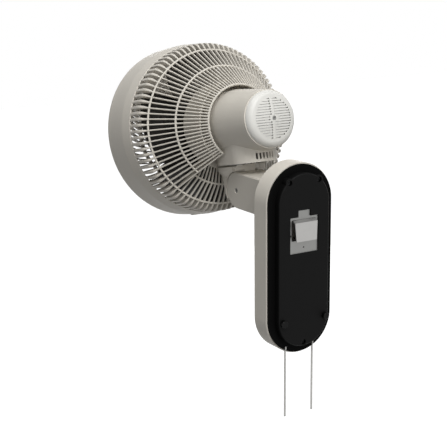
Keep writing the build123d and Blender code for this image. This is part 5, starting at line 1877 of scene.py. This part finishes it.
@dataclass
class Studio:
    """The floor, the lamps, the pale surroundings and the camera.

    The camera's angles are in degrees and its lengths in millimetres. It looks at a point
    near the wall hook, slid across the view so that the fan lies as in the photograph.
    """

    azimuth: float = 31.387
    elevation: float = 13.625
    roll: float = 0.571
    distance: float = 1684.84
    slide: Point2 = (-116.4, 56.1)
    focal_pixels: float = 1101.93
    aim_shift: Point3 = (0.0, -17.7, -48.0)
    sensor: float = 36.0
    floor_drop: float = 620.0
    floor_side: float = 12000.0
    floor_grey: float = 0.16
    floor_roughness: float = 0.9
    room_light: float = 0.25
    lamp_aim: Point3 = (0.0, -0.15, 0.05)
    lamps: tuple[Lamp, ...] = (
        Lamp("key", (0.25, 1.5, 1.8), 0.9, 34.0),
        Lamp("top", (0.3, 0.1, 2.0), 1.2, 12.0),
        Lamp("rear_fill", (0.9, 2.0, 0.45), 1.0, 9.0),
        Lamp("front_fill", (-1.1, -2.0, -0.05), 1.2, 15.0),
    )

    def camera(self) -> None:
        """Set the camera at the viewing angle of the photograph."""
        turn, rise = math.radians(self.azimuth), math.radians(self.elevation)
        back = Vector(
            (math.sin(turn) * math.cos(rise), math.cos(turn) * math.cos(rise), math.sin(rise))
        )
        right = Vector((-math.cos(turn), math.sin(turn), 0.0))
        up = back.cross(right)
        aside = right * self.slide[0] + up * self.slide[1]
        place = aside + back * self.distance + Vector(self.aim_shift)
        tip = math.radians(self.roll)
        level = right * math.cos(tip) - up * math.sin(tip)
        plumb = right * math.sin(tip) + up * math.cos(tip)
        lens = bpy.data.cameras.new("camera")
        lens.sensor_width = self.sensor
        lens.lens = self.focal_pixels / PHOTO_PIXELS * self.sensor
        lens.clip_start = 0.01
        camera = new_object("camera", lens)
        axes = Matrix((level, plumb, back)).transposed().to_4x4()
        camera.matrix_world = Matrix.Translation(place * MM) @ axes
        bpy.context.scene.camera = camera

    @staticmethod
    def seen_ray(tree: bpy.types.NodeTree) -> bpy.types.NodeSocket:
        """Add a mask of the rays that show the background itself.

        Args:
            tree: the node tree of the world or the floor.

        Returns:
            The socket that is 1 for such a ray.
        """
        rays = add_node(tree, "ShaderNodeLightPath")
        seen = rays.outputs["Is Camera Ray"]
        for ray in ("Is Glossy Ray", "Is Transmission Ray"):
            seen = add_node(
                tree, "ShaderNodeMath", operation="MAXIMUM", in_0=seen, in_1=rays.outputs[ray]
            ).outputs[0]
        return seen

    def surroundings(self) -> None:
        """Pale world: plain light on the fan, and white where the camera looks past it."""
        world = bpy.data.worlds.new("pale_room")
        world.use_nodes = True
        tree = world.node_tree
        light = tree.nodes["Background"]
        light.inputs["Color"].default_value = WHITE
        light.inputs["Strength"].default_value = self.room_light
        white = add_node(tree, "ShaderNodeBackground", in_Color=WHITE, in_Strength=1.0)
        blend = add_node(
            tree,
            "ShaderNodeMixShader",
            in_0=self.seen_ray(tree),
            in_1=light.outputs[0],
            in_2=white.outputs[0],
        )
        tree.links.new(blend.outputs[0], tree.nodes["World Output"].inputs["Surface"])
        bpy.context.scene.world = world
        bpy.context.scene.view_settings.view_transform = "Standard"

    def floor(self) -> None:
        """A plain pale floor below the fan, which keeps its shadow."""
        bpy.ops.mesh.primitive_plane_add(
            size=self.floor_side * MM, location=(0, 0, -self.floor_drop * MM)
        )
        plane = bpy.context.object
        plane.name = "studio_floor"
        paint = bpy.data.materials.new("pale_floor")
        paint.use_nodes = True
        tree = paint.node_tree
        shader = tree.nodes["Principled BSDF"]
        shader.inputs["Base Color"].default_value = (*[self.floor_grey] * 3, 1.0)
        shader.inputs["Roughness"].default_value = self.floor_roughness
        shader.inputs["Emission Color"].default_value = WHITE
        tree.links.new(self.seen_ray(tree), shader.inputs["Emission Strength"])
        plane.data.materials.append(paint)

    def build(self) -> None:
        """Set up the whole studio."""
        self.camera()
        self.surroundings()
        self.floor()
        for lamp in self.lamps:
            lamp.hang(self.lamp_aim)


# ---------------------------------------------------------------- the whole fan
def main() -> None:
    """Build the dressed fan, its studio and its camera."""
    logging.basicConfig(level=logging.INFO, format="%(message)s")
    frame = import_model()
    workshop = Workshop(frame)
    moulder = MouldedEdges(workshop)
    head = HeadFrame.read(frame["joints"])
    for name in frame["nodes"]:
        workshop.dress_node(name)
    WallBase(workshop, moulder).build()
    for cord, across in CORDS.items():
        PullCord(workshop, cord, across).build()
    MotorHead(workshop, head, moulder).build()
    RearGuard(workshop, head).build()
    FrontGuard(workshop, head).build()
    FanWheel(workshop, head).build()
    Studio().build()


if __name__ == "__main__":
    main()
